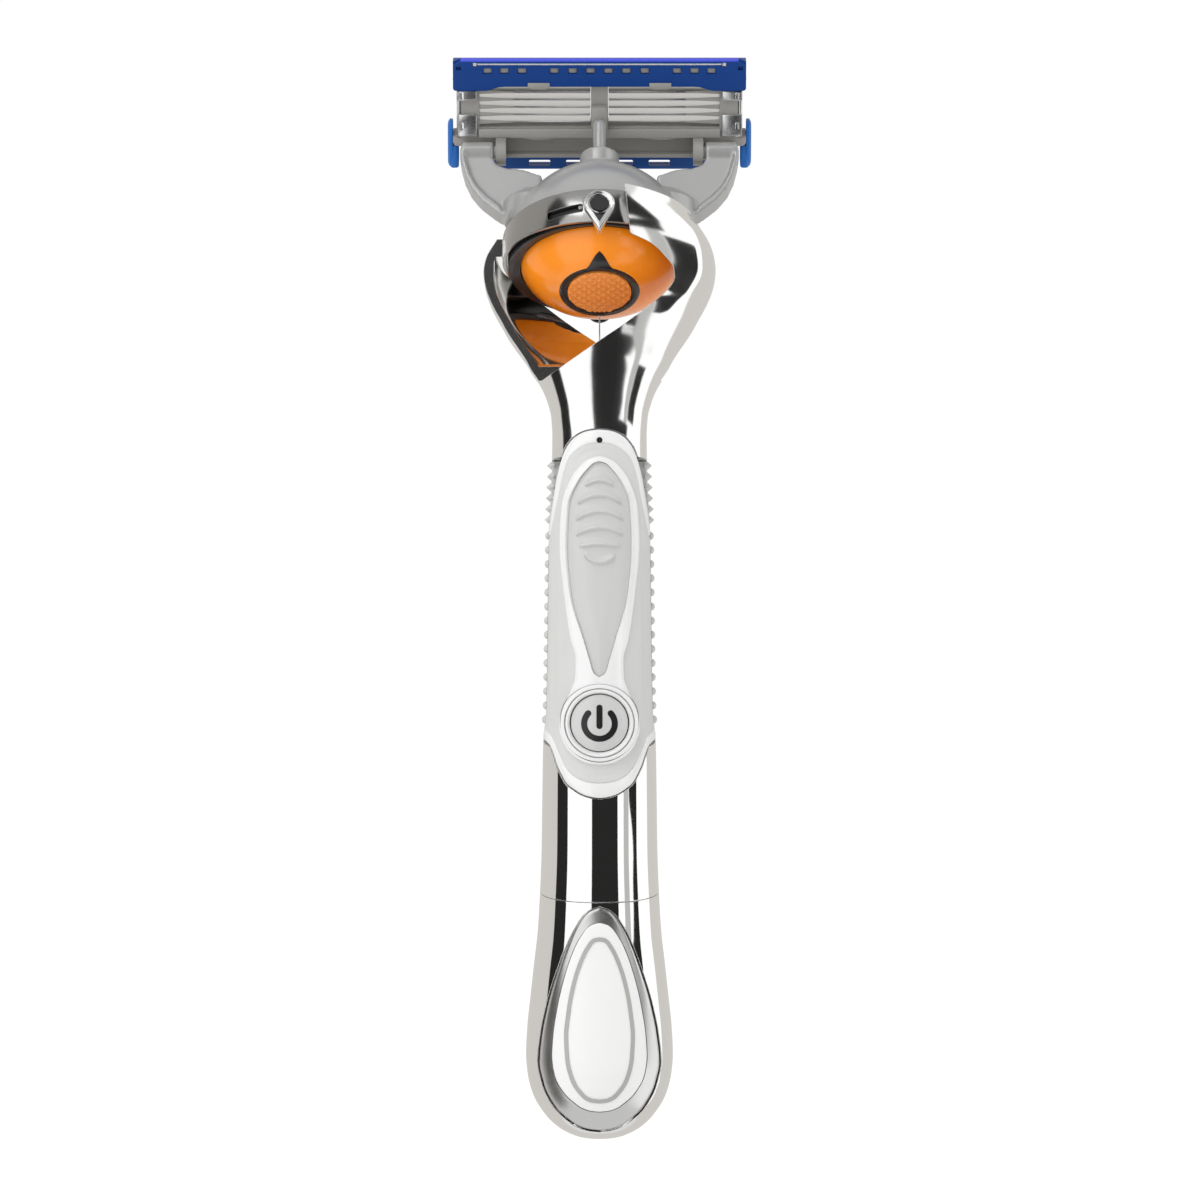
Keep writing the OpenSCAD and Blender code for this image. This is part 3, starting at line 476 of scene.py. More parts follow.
# orange_gloss has a faint orange emission: a painted glow, since the ball gives off light though it is no
# lamp
material("orange_gloss", (1.0, 0.29, 0.006), 0.28, coat=0.6, vary=0.02, Coat_Roughness=0.12,
                  Emission_Color=(1.0, 0.22, 0.0, 1), Emission_Strength=0.1)
material("orange_knurl", (1.0, 0.34, 0.06), 0.3, vary=0.04, bump=0.03)
material("yoke_grey", srgb(178, 178, 177), 0.3, metal=0.35, coat=0.2, vary=0.02, bump=0.06, fine=5000)
material("housing_grey", srgb(152, 150, 146), 0.4, vary=0.03, bump=0.08, fine=5000)
material("blade_steel", (0.9, 0.9, 0.9), 0.22, 1.0, vary=0.03, rough_vary=0.08)
material("clip_metal", (0.86, 0.86, 0.87), 0.25, 1.0, vary=0.02)
material("cover_blue", srgb(0, 58, 132), 0.45, vary=0.06, bump=0.06, Specular_IOR_Level=0.25)
material("cover_edge", srgb(72, 82, 225), 0.5, vary=0.04, bump=0.04)
material("guard_deep", srgb(6, 74, 150), 0.45, vary=0.05, bump=0.06)
material("guard_blue", srgb(16, 104, 190), 0.4, vary=0.04, bump=0.06)
material("strip_green", srgb(190, 222, 210), 0.5, vary=0.06, bump=0.2, fine=3000)
material("spring_steel", (0.6, 0.6, 0.61), 0.2, 1.0, vary=0.05)
material("chassis_plastic", srgb(236, 236, 228), 0.45, vary=0.03, bump=0.05)
material("contact_brass", (0.78, 0.57, 0.2), 0.25, 1.0, vary=0.05)
material("board_green", (0.01, 0.13, 0.05), 0.35, vary=0.2, grain=900, bump=0.2)
material("motor_steel", (0.62, 0.62, 0.6), 0.25, 1.0, vary=0.04)
material("weight_metal", (0.2, 0.19, 0.17), 0.5, 0.8, vary=0.2, bump=0.2)
material("seal_rubber", (0.008, 0.008, 0.008), 0.5, vary=0.2, bump=0.05)
material("badge_grey", srgb(178, 178, 175), 0.3, vary=0.02)
material("cell_sleeve", (0.45, 0.26, 0.06), 0.25, 0.6, vary=0.06)


def paint_nodes():
    """Every CAD node that stays takes the finish of its slot. The pins look like the black plastic."""
    for part in frame["record"]["subparts"]:
        slot = part["material_slot"]
        paint(frame["nodes"][part["node"]], "black_plastic" if slot == "dark_pin" else slot)


paint_nodes()


# ---- handle
# the ring that holds the ball: outer and inner radius, and its edges along the head's axis
BAND_R, BAND_BORE, BAND_LOW, BAND_TOP = 13.45, 12.95, -2.5, 2.8
# the battery's frame, and the bay it slides out of
CELL = frame_matrix(np.array([0, float(centre_y(Z_LO)), Z_LO]), X, np.cross(X, CAP_OUT), -CAP_OUT)
BUTTON_Z, BAY_R = -26.5, 6.42
GRIP_LOW, GRIP_TOP, SKIN_FOOT = -29.0, 9.4, -1.2
PANEL = [
    (-36.85, 0.0), (-36.75, 1.0), (-36.3, 2.5), (-35.7, 3.5), (-34.9, 4.54), (-33.8, 5.2),
    (-32.5, 5.85), (-31, 6.35), (-29.7, 6.9), (-28.7, 7.75), (0.1, 7.3), (0.6, 7.05),
    (3.44, 6.6), (7.7, 5.85), (10.7, 4.95), (12.4, 3.9), (13.3, 2.7), (13.75, 1.4), (13.9, 0.0),
]
GRIP = [
    (-34.7, 0.0), (-34.55, 1.4), (-34.1, 2.82), (-33.5, 3.8), (-32.7, 4.54), (-30.7, 5.57),
    (-28.4, 6.6), (-27.1, 7.6), (-3, 7.3), (-1, 6.85), (4, 5.75), (8, 4.9), (9.8, 4.2),
    (11.2, 2.7), (11.8, 1.3), (11.97, 0.0),
]
RIDGE = [
    (-32.3, 0.0), (-32.15, 1.4), (-31.6, 2.8), (-30.6, 4.1), (-29, 5.1), (-27.4, 5.6), (-26, 5.55),
    (-24.5, 4.95), (-22.1, 3.96), (-20.1, 3.35), (-17.7, 3.3), (-15.1, 3.96), (-8.9, 4.83),
    (-2, 5.45), (3, 5.2), (6.5, 4.2), (9, 2.5), (9.95, 1.1), (10.18, 0.0),
]
PAD_EDGE = [
    (-20.15, 0.0), (-19.6, 0.75), (-18, 1.25), (-15.1, 2.1), (-8.9, 3.85), (-2.2, 4.4), (3.6, 4.1),
    (6.5, 2.95), (8.4, 1.55), (9.15, 0.7), (9.35, 0.0),
]
# arched ribs on the pad: height, half-width, rise of the middle over the ends
PAD_RIBS = [
    (6.75, 2.0, 0.75), (4.75, 3.1, 1.3), (2.5, 3.3, 1.3), (0.25, 3.3, 1.15),
    (-2.0, 2.85, 0.35), (-4.5, 2.15, -1.0),
]


def table_loop(table, n=240):
    """The closed outline a half-width table describes, evenly spaced, as x and z."""
    return resample(arch(table, table[0][0], table[-1][0], 400), n, closed=True)


def resample(path, n, closed=False):
    steps = np.r_[0, np.cumsum(np.hypot(*np.diff(path, axis=0).T))]
    at = np.linspace(0, steps[-1], n + 1 if closed else n)
    out = np.stack([np.interp(at, steps, path[:, 0]), np.interp(at, steps, path[:, 1])], -1)
    return out[:-1] if closed else out


def on_skin(x, z, off):
    a = angle_at(z, x)
    return outline(section_at(z, a), a, off)


def skin_patch(name, table, top, bottom=-1.0, n=240, m=26, grow=0.0):
    """Piece of the front face inside an outline; top gives its height from x, z and inset."""
    ring = table_loop(table, n)
    if grow:
        tangent = np.roll(ring, -1, 0) - np.roll(ring, 1, 0)
        normal = np.stack([-tangent[:, 1], tangent[:, 0]], -1)
        normal /= np.hypot(*normal.T)[:, None] + 1e-9
        ring = ring + normal * np.sign(normal[n // 4, 0]) * grow
    half = np.abs(ring[:, 0]).max()
    low, high = ring[:, 1].min() + half * 0.9, ring[:, 1].max() - half * 0.9
    spine = np.stack([0 * ring[:, 0], np.clip(ring[:, 1], low, high)], -1)
    grid = spine + (ring - spine) * np.sin(np.linspace(0, math.pi / 2, m))[:, None, None]
    x, z = grid[..., 0], grid[..., 1]
    inset = np.min(np.hypot(x[..., None] - ring[:, 0], z[..., None] - ring[:, 1]), -1)
    over = on_skin(x, z, top(x, z, inset))
    under = on_skin(x, z, np.full_like(x, bottom))
    faces = grid_faces(m, n, wrap=True) + grid_faces(m, n, base=m * n, wrap=True, flip=True)
    rim = (m - 1) * n
    faces += [[rim + k, m * n + rim + k, m * n + rim + (k + 1) % n, rim + (k + 1) % n] for k in range(n)]
    return make_mesh(name, np.concatenate([over.reshape(-1, 3), under.reshape(-1, 3)]), faces)


def arch_patch(name, outer, inner, profile, n=160):
    """Strip between two arches. profile is (share of the way in, height) round its section."""
    a, b = resample(np.array(outer), n), resample(np.array(inner), n)
    share, off = np.array(profile, float).T
    grid = a[None] + (b - a)[None] * share[:, None, None]
    points = on_skin(grid[..., 0], grid[..., 1], np.repeat(off[:, None], n, 1))
    points = np.transpose(points, (1, 0, 2))
    return loft(name, points)


def arch(table, low, high, count=300):
    """The part of an outline between two heights, from one side round the end to the other."""
    wide = smooth_curve(table)
    z = even_rows(low, high, count)
    right = np.stack([wide(z), z], -1)
    if wide(low) < wide(high):
        right = right[::-1]
    left = right[::-1] * [-1, 1]
    return np.concatenate([right, left[1:]])


def skin_rows(low, high, off, rows=120, cols=144):
    s = np.linspace(low, high, rows)[:, None]
    a = full_turn(cols)[None, :]
    return outline(s, a, off)


def above(level):
    return lambda x, z, inset: 0 * x + level


def round_edged(foot, height, radius):
    """Surface of a raised piece: foot at its rim, and height more once radius in."""
    return lambda x, z, inset: foot + rounded(inset, height, radius)


def button_hole(r, steps=64):
    return drill(r, -9, 9, along_front(BUTTON_Z), steps)


def panel_gap():
    return skin_patch("gap", PANEL, above(3), bottom=-1.3, grow=0.1)


def barrel():
    shell = loft("barrel", skin_rows(-49.75, GRIP_LOW - 0.1, 0.0, 70))
    carve(shell, panel_gap(), drill(BAY_R, -40, 12, CELL), button_hole(5.3))
    finish_piece(shell, "handle", "chrome", ("handle_shell",), angle=40)


def core():
    rings = skin_rows(GRIP_LOW - 1, GRIP_TOP + 1, -1.25, 40, 64)
    body = carve(loft("grip_core", rings), button_hole(4.6))
    finish_piece(body, "handle", "black_plastic")


def cradle_rings(s):
    """Rings of the neck and cradle: a bowed front and back face between side walls."""
    w, d, k, b = half_w(s), half_d(s), crease(s), crown(s)
    vc = d * (1 - k**POWER) ** (1 / POWER)
    t = np.linspace(-1, 1, 41)
    face_x = (k * w)[:, None] * t
    face_v = -vc[:, None] - b[:, None] * (1 - t**2)
    a0 = np.arcsin(k ** (POWER / 2))[:, None]
    a = a0 + (math.pi - 2 * a0) * np.linspace(0, 1, 44)[1:-1]
    side_x, side_v = w[:, None] * spow(np.sin(a), 2 / POWER), -d[:, None] * spow(np.cos(a), 2 / POWER)
    x = np.concatenate([face_x, side_x, -face_x, -side_x], 1)
    v = np.concatenate([face_v, side_v, -face_v, -side_v], 1)
    return place(s[:, None], x, v)


FRONT_CUT = [
    (-7.9, 20.6), (0, 26), (3, 28.0), (5, 29.45), (7, 30.95), (8.6, 32.3), (9.8, 33.6), (10.3, 34.7),
    (10.2, 35.9), (9.1, 37.5), (7.2, 39.3), (4.2, 40.7), (3.2, 50), (3.2, 60), (-30, 60), (-30, 20.6),
]


def smooth_corner(points, count, every=6):
    """Rounds the first count points of an outline with a running curve."""
    p = np.array(points[:count], float)
    t = np.r_[0, np.cumsum(np.hypot(*np.diff(p, axis=0).T))]
    fx, fz = smooth_curve(np.stack([t, p[:, 0]], -1)), smooth_curve(np.stack([t, p[:, 1]], -1))
    at = np.linspace(0, t[-1], count * every)
    return [(float(fx(v)), float(fz(v))) for v in at] + list(points[count:])


def half_prism(points, side):
    """Cutter over an outline in front of (side 1) or behind (side -1) the cradle's middle."""
    tilt = math.tan(NECK_BEND)
    middle = float(centre_y(30.0))
    near = [(x * side, middle + (z - 30) * tilt, z) for x, z in points]
    far = [(x * side, -40 * side, z) for x, z in points]
    return make_mesh("window", near + far, wall_faces(len(points)))


def ball_cutter(r):
    turns = np.linspace(-math.pi / 2, math.pi / 2, 97)[1:-1]
    side = [(r * math.cos(t), r * math.sin(t)) for t in turns]
    return lathe("ball", [(0, -r), *side, (0, r)], 144, HEAD)


def rear_hollow():
    """Inside of the rear arm, which is a curved wall and not a solid."""
    s = np.linspace(22.6, 38.0, 50)
    rings = cradle_rings(s)
    middle = place(s, 0, 0)[:, None]
    wall = 1 - 1.3 / np.stack([half_w(s), half_d(s), half_d(s)], -1)[:, None]
    rings = middle + (rings - middle) * wall
    # only the half behind the middle
    back = place(s, 0, 1)[:, None] - middle
    depth = np.sum((rings - middle) * back, -1, keepdims=True)
    rings = rings - back * np.minimum(0, depth + 0.03)
    return loft("hollow", rings)


def cradle():
    s = np.concatenate([np.linspace(GRIP_TOP + 0.1, 16, 24)[:-1], np.linspace(16, 44, 110)])
    frame_ = loft("cradle", cradle_rings(s))
    room = [ball_cutter(13.3), drill(BAND_R + 0.02, BAND_LOW - 0.52, 14, HEAD, 144)]
    lid = box_piece("lid", (-30, -30, BAND_TOP), (30, 30, 30), HEAD)
    window = smooth_corner(FRONT_CUT, 12)
    windows = pair(lambda side: half_prism(window, side))
    carve(frame_, panel_gap(), *room, lid, rear_hollow(), *windows)
    nodes = ("neck", "cradle_front_arm", "cradle_rear_arm")
    finish_piece(frame_, "handle", "chrome", nodes, angle=28, look="cradle_chrome")


def rod():
    """Thin return rod that stands behind the ball."""
    y = float(centre_y(26)) + 1.0
    rod_ = box_piece("return_rod_skin", (-0.1, y - 0.9, 25.9), (0.1, y + 0.9, 29.7), ROW, 0.04)
    finish_piece(rod_, "handle", "spring_steel", ("return_rod",))


def panel():
    edge = [
        (0, -1.05), (0, -0.2), (0.06, -0.06), (0.2, 0.02), (0.5, 0.05), (0.8, 0.02), (0.94, -0.05),
        (1, -0.2), (1, -1.05),
    ]
    top = arch_patch("panel_top", arch(PANEL, 0.1, 13.9), arch(GRIP, -0.9, 11.97), edge)
    low = arch_patch("panel_low", arch(PANEL, -36.85, -28.7), arch(GRIP, -34.7, -27.1), edge)
    rim = join("panel_rim_skin", top, low)
    finish_piece(rim, "handle", "white_gloss", ("panel_rim",), angle=50)

    def soft(x, z, inset):
        dip = 0.22 * np.clip(inset / 0.9, 0, 1) ** 1.5
        line = np.exp(-(((np.abs(x) - half_w(z) + 0.85) / 0.14) ** 2))
        line = line * np.clip((-5 - z) / 2, 0, 1) * np.clip((z + 25) / 2, 0, 1)
        return 0.02 - dip - 0.12 * line

    grip = skin_patch("front_grip_skin", GRIP, soft, n=300, m=44)
    carve(grip, button_hole(5.42, 96))
    finish_piece(grip, "handle", "grey_rubber", ("front_grip",), angle=50)


def ridge():
    band = skin_patch("grip_ridge_skin", RIDGE, round_edged(-0.1, 0.5, 0.55), bottom=-0.5, n=300, m=44)
    carve(band, skin_patch("hollow", PAD_EDGE, above(3), bottom=-2, grow=0.05), button_hole(5.42, 96))
    finish_piece(band, "handle", "white_gloss", ("grip_ridge",), angle=50)


def pad():
    def top(x, z, inset):
        h = -0.12 + 0.25 * np.clip(inset / 2.2, 0, 1) - 0.1 * np.clip(inset / 4, 0, 1)
        for z0, half, rise in PAD_RIBS:
            mid = z0 - rise * (x / half) ** 2
            thick = 0.62 * np.clip(1 - (x / half) ** 4, 0, 1) ** 0.5 + 1e-6
            t = (z - mid) / thick
            up = np.where(t > 0, np.clip(1 - t / 1.5, 0, 1), np.clip(1 + t * 2.2, 0, 1))
            up = up * up * (3 - 2 * up)
            h = h + 0.5 * up * np.clip((1 - (x / half) ** 2) * 4, 0, 1) * (np.abs(x) < half)
        return h

    # a finer grid than the outline alone would need, so the ribs stay crisp
    skin = skin_patch("thumb_pad_skin", PAD_EDGE, top, bottom=-0.6, n=420, m=70)
    finish_piece(skin, "handle", "pad_rubber", ("thumb_pad",), angle=60)


def side_strips():
    parts = []
    t = np.linspace(0, math.pi / 2, 8)
    dome = [(0, -0.5), (0.56, -0.4)] + [(0.56 * math.cos(v), 0.52 * math.sin(v)) for v in t]
    spike = [(0, -0.5), (0.82, -0.4), (0.8, -0.2), (0.06, 0.62), (0, 0.63)]
    for side in (1, -1):
        a0, a1 = (89.2, 102.4) if side > 0 else (257.6, 270.8)
        s = np.linspace(GRIP_LOW, GRIP_TOP, 90)[:, None]
        a = np.radians(np.linspace(a0, a1, 13))[None, :]
        arc = np.clip(np.minimum(a - a[0, 0], a[0, -1] - a) / 0.05, 0, 1)
        parts.append(slab("strip", outline(s, a, -0.14 + rounded(arc, 0.14, 1.0)), outline(s, a, SKIN_FOOT)))
        # pointed studs by the pad, then round bumps further down
        for i in range(20):
            at = 8.9 - 1.5 * i if i < 6 else -0.8 - 1.95 * (i - 6)
            origin = place(np.array(at), np.array(side * float(half_w(at))), np.array(0.35))
            axes = frame_matrix(origin, [0, 0, 1.0], [0, -side, 0], [side, 0, 0])
            parts.append(lathe("stud", spike, 4, axes) if i < 6 else lathe("stud", dome, 24, axes))
    strips = join("side_strips", *parts)
    finish_piece(strips, "handle", "grey_rubber", ("side_grips",), angle=40, look="pad_rubber")


def back_grip():
    s = np.linspace(GRIP_LOW, GRIP_TOP, 260)[:, None]
    a = np.radians(np.linspace(102.8, 257.2, 90))[None, :]
    edge = np.minimum(np.minimum(a - a[0, 0], a[0, -1] - a) * 7, np.minimum(s - GRIP_LOW, GRIP_TOP - s))
    off = -0.25 + rounded(np.clip(edge, 0, 9), 0.25, 0.6)
    reach = np.clip(1 - np.abs(a - math.pi) / 0.85, 0, 1)
    bow = s - 3.0 * np.cos((a - math.pi) * 1.6)
    wave = np.clip(np.cos(bow * 2 * math.pi / 2.6), 0, 1) ** 2
    fade = np.clip((s + 22) / 3, 0, 1) * np.clip((5 - s) / 3, 0, 1)
    off = off + (0.28 * wave - 0.1) * fade * np.clip(reach * 4, 0, 1)
    skin = slab("rear_grip_skin", outline(s, a, off), outline(s, a, SKIN_FOOT))
    finish_piece(skin, "handle", "grey_rubber", ("rear_grip",), angle=50)


def button():
    seat = along_front(BUTTON_Z)
    ring = [
        (5.36, -1.6), (5.36, 0.3), (5.3, 0.44), (5.15, 0.5), (4.92, 0.5), (4.84, 0.42), (4.82, -0.1),
        (4.7, -0.1), (4.68, 0.46), (4.6, 0.58), (4.42, 0.6), (4.28, 0.5), (4.2, 0.25), (4.12, 0.2),
        (4.08, 0.1), (4.05, -1.6),
    ]
    bezel = lathe("button_bezel_skin", ring, 128, seat, closed=True)
    finish_piece(bezel, "handle", "white_gloss", ("button_bezel",), angle=40)
    cap = [(0.0, -0.9), (3.9, -0.9), (3.92, 0.18), (3.86, 0.3), (3.72, 0.4), (3.6, 0.42), (3.5, 0.44)]
    cap += [(r, dome_height(r)) for r in np.linspace(3.4, 0.2, 14)] + [(0, dome_height(0))]
    dome = lathe("button_cap_skin", cap, 128, seat)
    stem = lathe("stem", [(0, -2.9), (1.0, -2.9), (1.0, -0.85), (0, -0.85)], 32, seat)
    whole = join("button_cap_dome", dome, stem)
    finish_piece(whole, "power_button", "button_grey", ("button_cap",), angle=40)
    finish_piece(power_mark(seat), "power_button", "black_plastic", ("power_icon",), angle=40)


def dome_height(r):
    return 0.93 - (15.8 - np.sqrt(15.8**2 - r * r)) * 1.2


def mark(path, matrix, half=0.42):
    """A stroke with round ends, laid just over the button's dome."""
    d = np.gradient(path, axis=0)
    d /= np.hypot(*d.T)[:, None]
    turn = np.linspace(0, math.pi / 2, 6)[1:, None]
    start = path[0] - half * d[0] * np.sin(turn[::-1])
    end = path[-1] + half * d[-1] * np.sin(turn)
    wide = np.concatenate([np.cos(turn[::-1]), np.ones((len(d), 1)), np.cos(turn)]) * half
    path = np.concatenate([start, path, end])
    d = np.pad(d, ((5, 5), (0, 0)), "edge")
    side = np.stack([-d[:, 1], d[:, 0]], -1) * wide
    across = np.stack([path - side, path - side, path, path + side, path + side], 1)
    height = dome_height(np.hypot(across[..., 0], across[..., 1])) + 0.03
    height[:, [0, 4]] = 0.5
    return loft("mark", np.concatenate([across, height[..., None]], -1), matrix=matrix)


def power_mark(matrix):
    """The open ring and the bar of a power symbol."""
    a = np.radians(np.linspace(47, 313, 61))
    ring = 2.1 * np.stack([np.sin(a), np.cos(a)], -1)
    bar = np.stack([np.zeros(13), np.linspace(-0.3, 2.2, 13)], -1)
    return join("power_mark", mark(ring, matrix), mark(bar, matrix))


def handle():
    barrel()
    core()
    cradle()
    rod()
    panel()
    ridge()
    pad()
    side_strips()
    back_grip()
    button()


handle()


# ---- battery cap
BADGE_OUT = [
    (-83.1, 0.0), (-82.9, 1.4), (-81.6, 3.9), (-79.6, 6.0), (-76.8, 7.7), (-73.0, 8.6),
    (-69, 8.2), (-65, 7.35), (-60.5, 5.95), (-57, 4.6), (-54.3, 3.2), (-52.4, 1.6), (-51.75, 0.0),
]
BADGE_IN = [
    (-80.2, 0.0), (-80.05, 1.2), (-79, 3.2), (-77.5, 4.8), (-75.2, 6.1), (-72.2, 6.6),
    (-69, 6.4), (-65, 5.75), (-61, 4.75), (-58, 3.7), (-55.6, 2.4), (-54.3, 1.1), (-54, 0.0),
]
BADGE_RING = [
    (-79, 0.0), (-78.85, 1.1), (-77.7, 2.7), (-75.6, 4.0), (-72.5, 4.75), (-69.6, 4.9),
    (-66, 4.55), (-62, 3.75), (-59, 2.75), (-57, 1.7), (-56.1, 0.8), (-55.95, 0.0),
]
SEAM_Z, CELL_STOP, MOUTH_R, CELL_R = -17.06, -47.66, 6.8, 5.6
BADGE_FOOT = -0.66


def cap():
    low = -84.3 + 6 * np.linspace(0.04, 1, 50) ** 2
    s = np.concatenate([low, np.linspace(-78.1, -49.83, 110)])[:, None]
    a = full_turn(160)[None, :]
    shell = loft("cap_skin", outline(s, a))
    pocket = skin_patch("pocket", BADGE_OUT, above(3), bottom=-0.7)
    carve(shell, pocket, drill(MOUTH_R, SEAM_Z - 9.2, 5, CELL), drill(CELL_R, CELL_STOP, 5, CELL))
    finish_piece(shell, "cap", "chrome", ("cap_shell",), angle=40)


def badge():
    def bevel(x, z, inset):
        return -0.34 + rounded(inset, 0.3, 0.5) + 0.06 * np.clip(inset / 2, 0, 1)

    rim = skin_patch("badge_border_skin", BADGE_OUT, bevel, bottom=BADGE_FOOT, n=360, m=40, grow=-0.12)
    carve(rim, skin_patch("hole", BADGE_IN, above(3), bottom=-2, grow=0.06))
    finish_piece(rim, "cap", "band_chrome", ("badge_border",), angle=50, look="badge_satin")

    face = round_edged(-0.14, 0.24, 0.24)
    plate = skin_patch("badge_plate_skin", BADGE_IN, face, bottom=BADGE_FOOT, n=360, m=40)
    finish_piece(plate, "cap", "white_gloss", ("badge_plate",), angle=50, look="badge_white")
    stroke = round_edged(0.1, 0.13, 0.14)
    ring = skin_patch("badge_ring_skin", BADGE_RING, stroke, bottom=0.06, n=360, m=40)
    carve(ring, skin_patch("hole", BADGE_RING, above(3), bottom=-2, n=360, grow=-0.57))
    finish_piece(ring, "cap", "badge_grey", ("badge_ring",), angle=50)


cap()
badge()


# ---- ball head
EJECT_AT, EJECT_TURN = (0, -1.2, -6.1), 174
EJECT = tilted(HEAD, EJECT_AT, EJECT_TURN)
FACE = frame_matrix(BALL, X, HEAD_UP, HEAD_OUT)
RING_R = 5.54
BULB_R, BULB_H, BULB_U = 11.1, 6.8, -0.35


def below(level, rise):
    """Cutter under a plane of the ball head, which rises to the back."""
    return box_piece("below", (-20, -20, -10), (20, 20, 0), tilted(HEAD, (0, 0, level), rise))


def band():
    profile = [
        (BAND_BORE, BAND_LOW), (13.3, BAND_LOW), (13.42, BAND_LOW + 0.05), (BAND_R, BAND_LOW + 0.15),
        (BAND_R, BAND_TOP - 0.15), (13.42, BAND_TOP - 0.05), (13.3, BAND_TOP), (BAND_BORE, BAND_TOP),
    ]
    ring = lathe("cradle_band_skin", profile, 256, HEAD, closed=True)
    turned = tilted(FACE, (0, 0, 0), 4, "Z")
    slot = box_piece("slot", (-7.2, -0.65, 5), (-2.3, 0.65, 15), turned, 0.3, 4)
    carve(ring, slot, drill(1.0, 5, 15, FACE, 48), drill(1.0, -15, -5, FACE, 48), below(-0.8, 7.2))
    profile = [(0, 12.97), (0.34, 12.97), (0.34, 13.24), (0.26, 13.32), (0, 13.34)]
    stud = lathe("stud", profile, 24, turned @ Matrix.Translation((-2.62, 0, 0)))
    finish_piece(join("cradle_band_ring", ring, stud), "handle", "band_chrome", ("cradle_band",), angle=30)


def teardrop(inset, tip=-4.0, steps=160):
    """Round bezel with a point below it, as x and height."""
    big, small = 2.15 - inset, max(0.03, 0.18 - inset)
    low = tip + inset * 1.6
    t = full_turn(steps)
    n = np.stack([np.cos(t), np.sin(t)], -1)
    upper = big * n
    lower = small * n + [0, low]
    pick = (np.sum(lower * n, -1) > big)[:, None]
    return np.where(pick, lower, upper)


def drops(name, profile, capped):
    """Skin through teardrops, one for each inset and height in the profile."""
    rings = []
    for inset, height in profile:
        p = teardrop(inset)
        rings.append(np.stack([p[:, 0], p[:, 1], 0 * p[:, 0] + height], -1))
    return loft(name, np.array(rings), (capped, capped), FACE)


def bezel():
    profile = [
        (0, 13.3), (0, 13.98), (0.05, 14.1), (0.14, 14.15), (0.24, 14.12), (0.3, 13.95), (0.36, 13.9),
        (0.44, 13.95), (0.5, 14.08), (0.6, 14.1), (0.7, 14.05), (0.76, 13.85), (0.8, 13.3), (0, 13.3),
    ]
    rim = drops("bezel_rim", profile, False)
    floor = carve(drops("bezel_floor", [(0.7, 13.3), (0.7, 13.7)], True), drill(1.3, 10, 16, FACE))
    lip = [(1.3, 13.5), (1.3, 13.95), (1.36, 14.02), (1.44, 13.95), (1.44, 13.5)]
    collar = lathe("bezel_collar", lip, 64, FACE, closed=True)
    # the point's foot reaches back to the ring below its edge
    level, share = -2.62, (4.0 - 2.62) / 4.0
    half = 0.18 + (2.15 - 0.18) * share
    tip = [(float(x), float(u)) for x, u in teardrop(0.0) if u < level]
    foot = prism("bezel_foot", [(-half, level), *tip, (half, level)], -13.5, -12.8, HEAD)
    finish_piece(floor, "handle", "black_plastic", look="gloss_black")
    joined = join("pivot_bezel_skin", rim, collar, foot)
    finish_piece(joined, "handle", "chrome", ("pivot_bezel",), angle=40)


def bulb_profile(grow, top=-1.6, n=60):
    """Outer profile of the orange bulb, from the axis up to height top."""
    a, b = BULB_R + grow, BULB_H + grow
    t = np.linspace(0, math.acos((BULB_U - top) / b), n)
    return [(float(a * math.sin(v)), float(BULB_U - b * math.cos(v))) for v in t]


def bulb():
    shell = lathe("ball_shell_skin", bulb_profile(0) + bulb_profile(-1.1)[::-1], 192, HEAD)
    carve(shell, drill(RING_R + 0.03, -3, 8, EJECT, 128))
    finish_piece(shell, "ball_head", "orange_gloss", ("ball_shell",), angle=40)
    rim = [
        (11.0, -1.4), (12.55, -1.4), (12.6, -1.5), (12.58, -2.2), (12.5, -2.38), (12.3, -2.45),
        (12.0, -2.3), (11.6, -2.0), (11.3, -1.9), (11.05, -1.88), (11.0, -1.8),
    ]
    collar = carve(lathe("pod_rim_skin", rim, 192, HEAD, closed=True), below(-1.95, 2.2))
    finish_piece(collar, "ball_head", "black_plastic", ("pod_rim",), angle=40)


def on_bulb(x, y, grow):
    """Point of the grown bulb straight out from x, y of the release pad."""
    turn = math.radians(EJECT_TURN)
    a, b = BULB_R + grow, BULB_H + grow
    ey, ez = (math.cos(turn), math.sin(turn)), (-math.sin(turn), math.cos(turn))
    py, pu = EJECT_AT[1] + y * ey[0], EJECT_AT[2] + y * ey[1] - BULB_U
    qa = (ez[0] / a) ** 2 + (ez[1] / b) ** 2
    qb = 2 * (py * ez[0] / a**2 + pu * ez[1] / b**2)
    qc = (x / a) ** 2 + (py / a) ** 2 + (pu / b) ** 2 - 1
    z = (-qb + np.sqrt(qb**2 - 4 * qa * qc)) / (2 * qa)
    return np.stack([x, y, z], -1)


def surround():
    profile = [
        (RING_R, -0.95), (RING_R, 0.08), (RING_R - 0.04, 0.15), (RING_R - 0.12, 0.18), (4.66, 0.18),
        (4.56, 0.14), (4.52, 0.06), (4.52, -0.95),
    ]
    ring = lathe("ring", profile, 160, EJECT, closed=True)
    t = np.linspace(0, 1, 28)[:, None]
    s = np.linspace(-1, 1, 25)[None, :]
    wide = smooth_curve([(5.2, 1.9), (5.8, 1.43), (6.6, 1.0), (7.35, 0.5), (7.8, 0.02)])
    x = s * wide(5.2 + 2.6 * t)
    base = np.sqrt(5.5**2 - (1.9 * s) ** 2)
    y = base + (7.8 - base) * t
    arrow = slab("arrow", on_bulb(x, y, 0.14), on_bulb(x, y, 0.01), EJECT)
    whole = join("eject_surround_skin", ring, arrow)
    finish_piece(whole, "ball_head", "black_plastic", ("eject_surround",), angle=40, look="gloss_black")


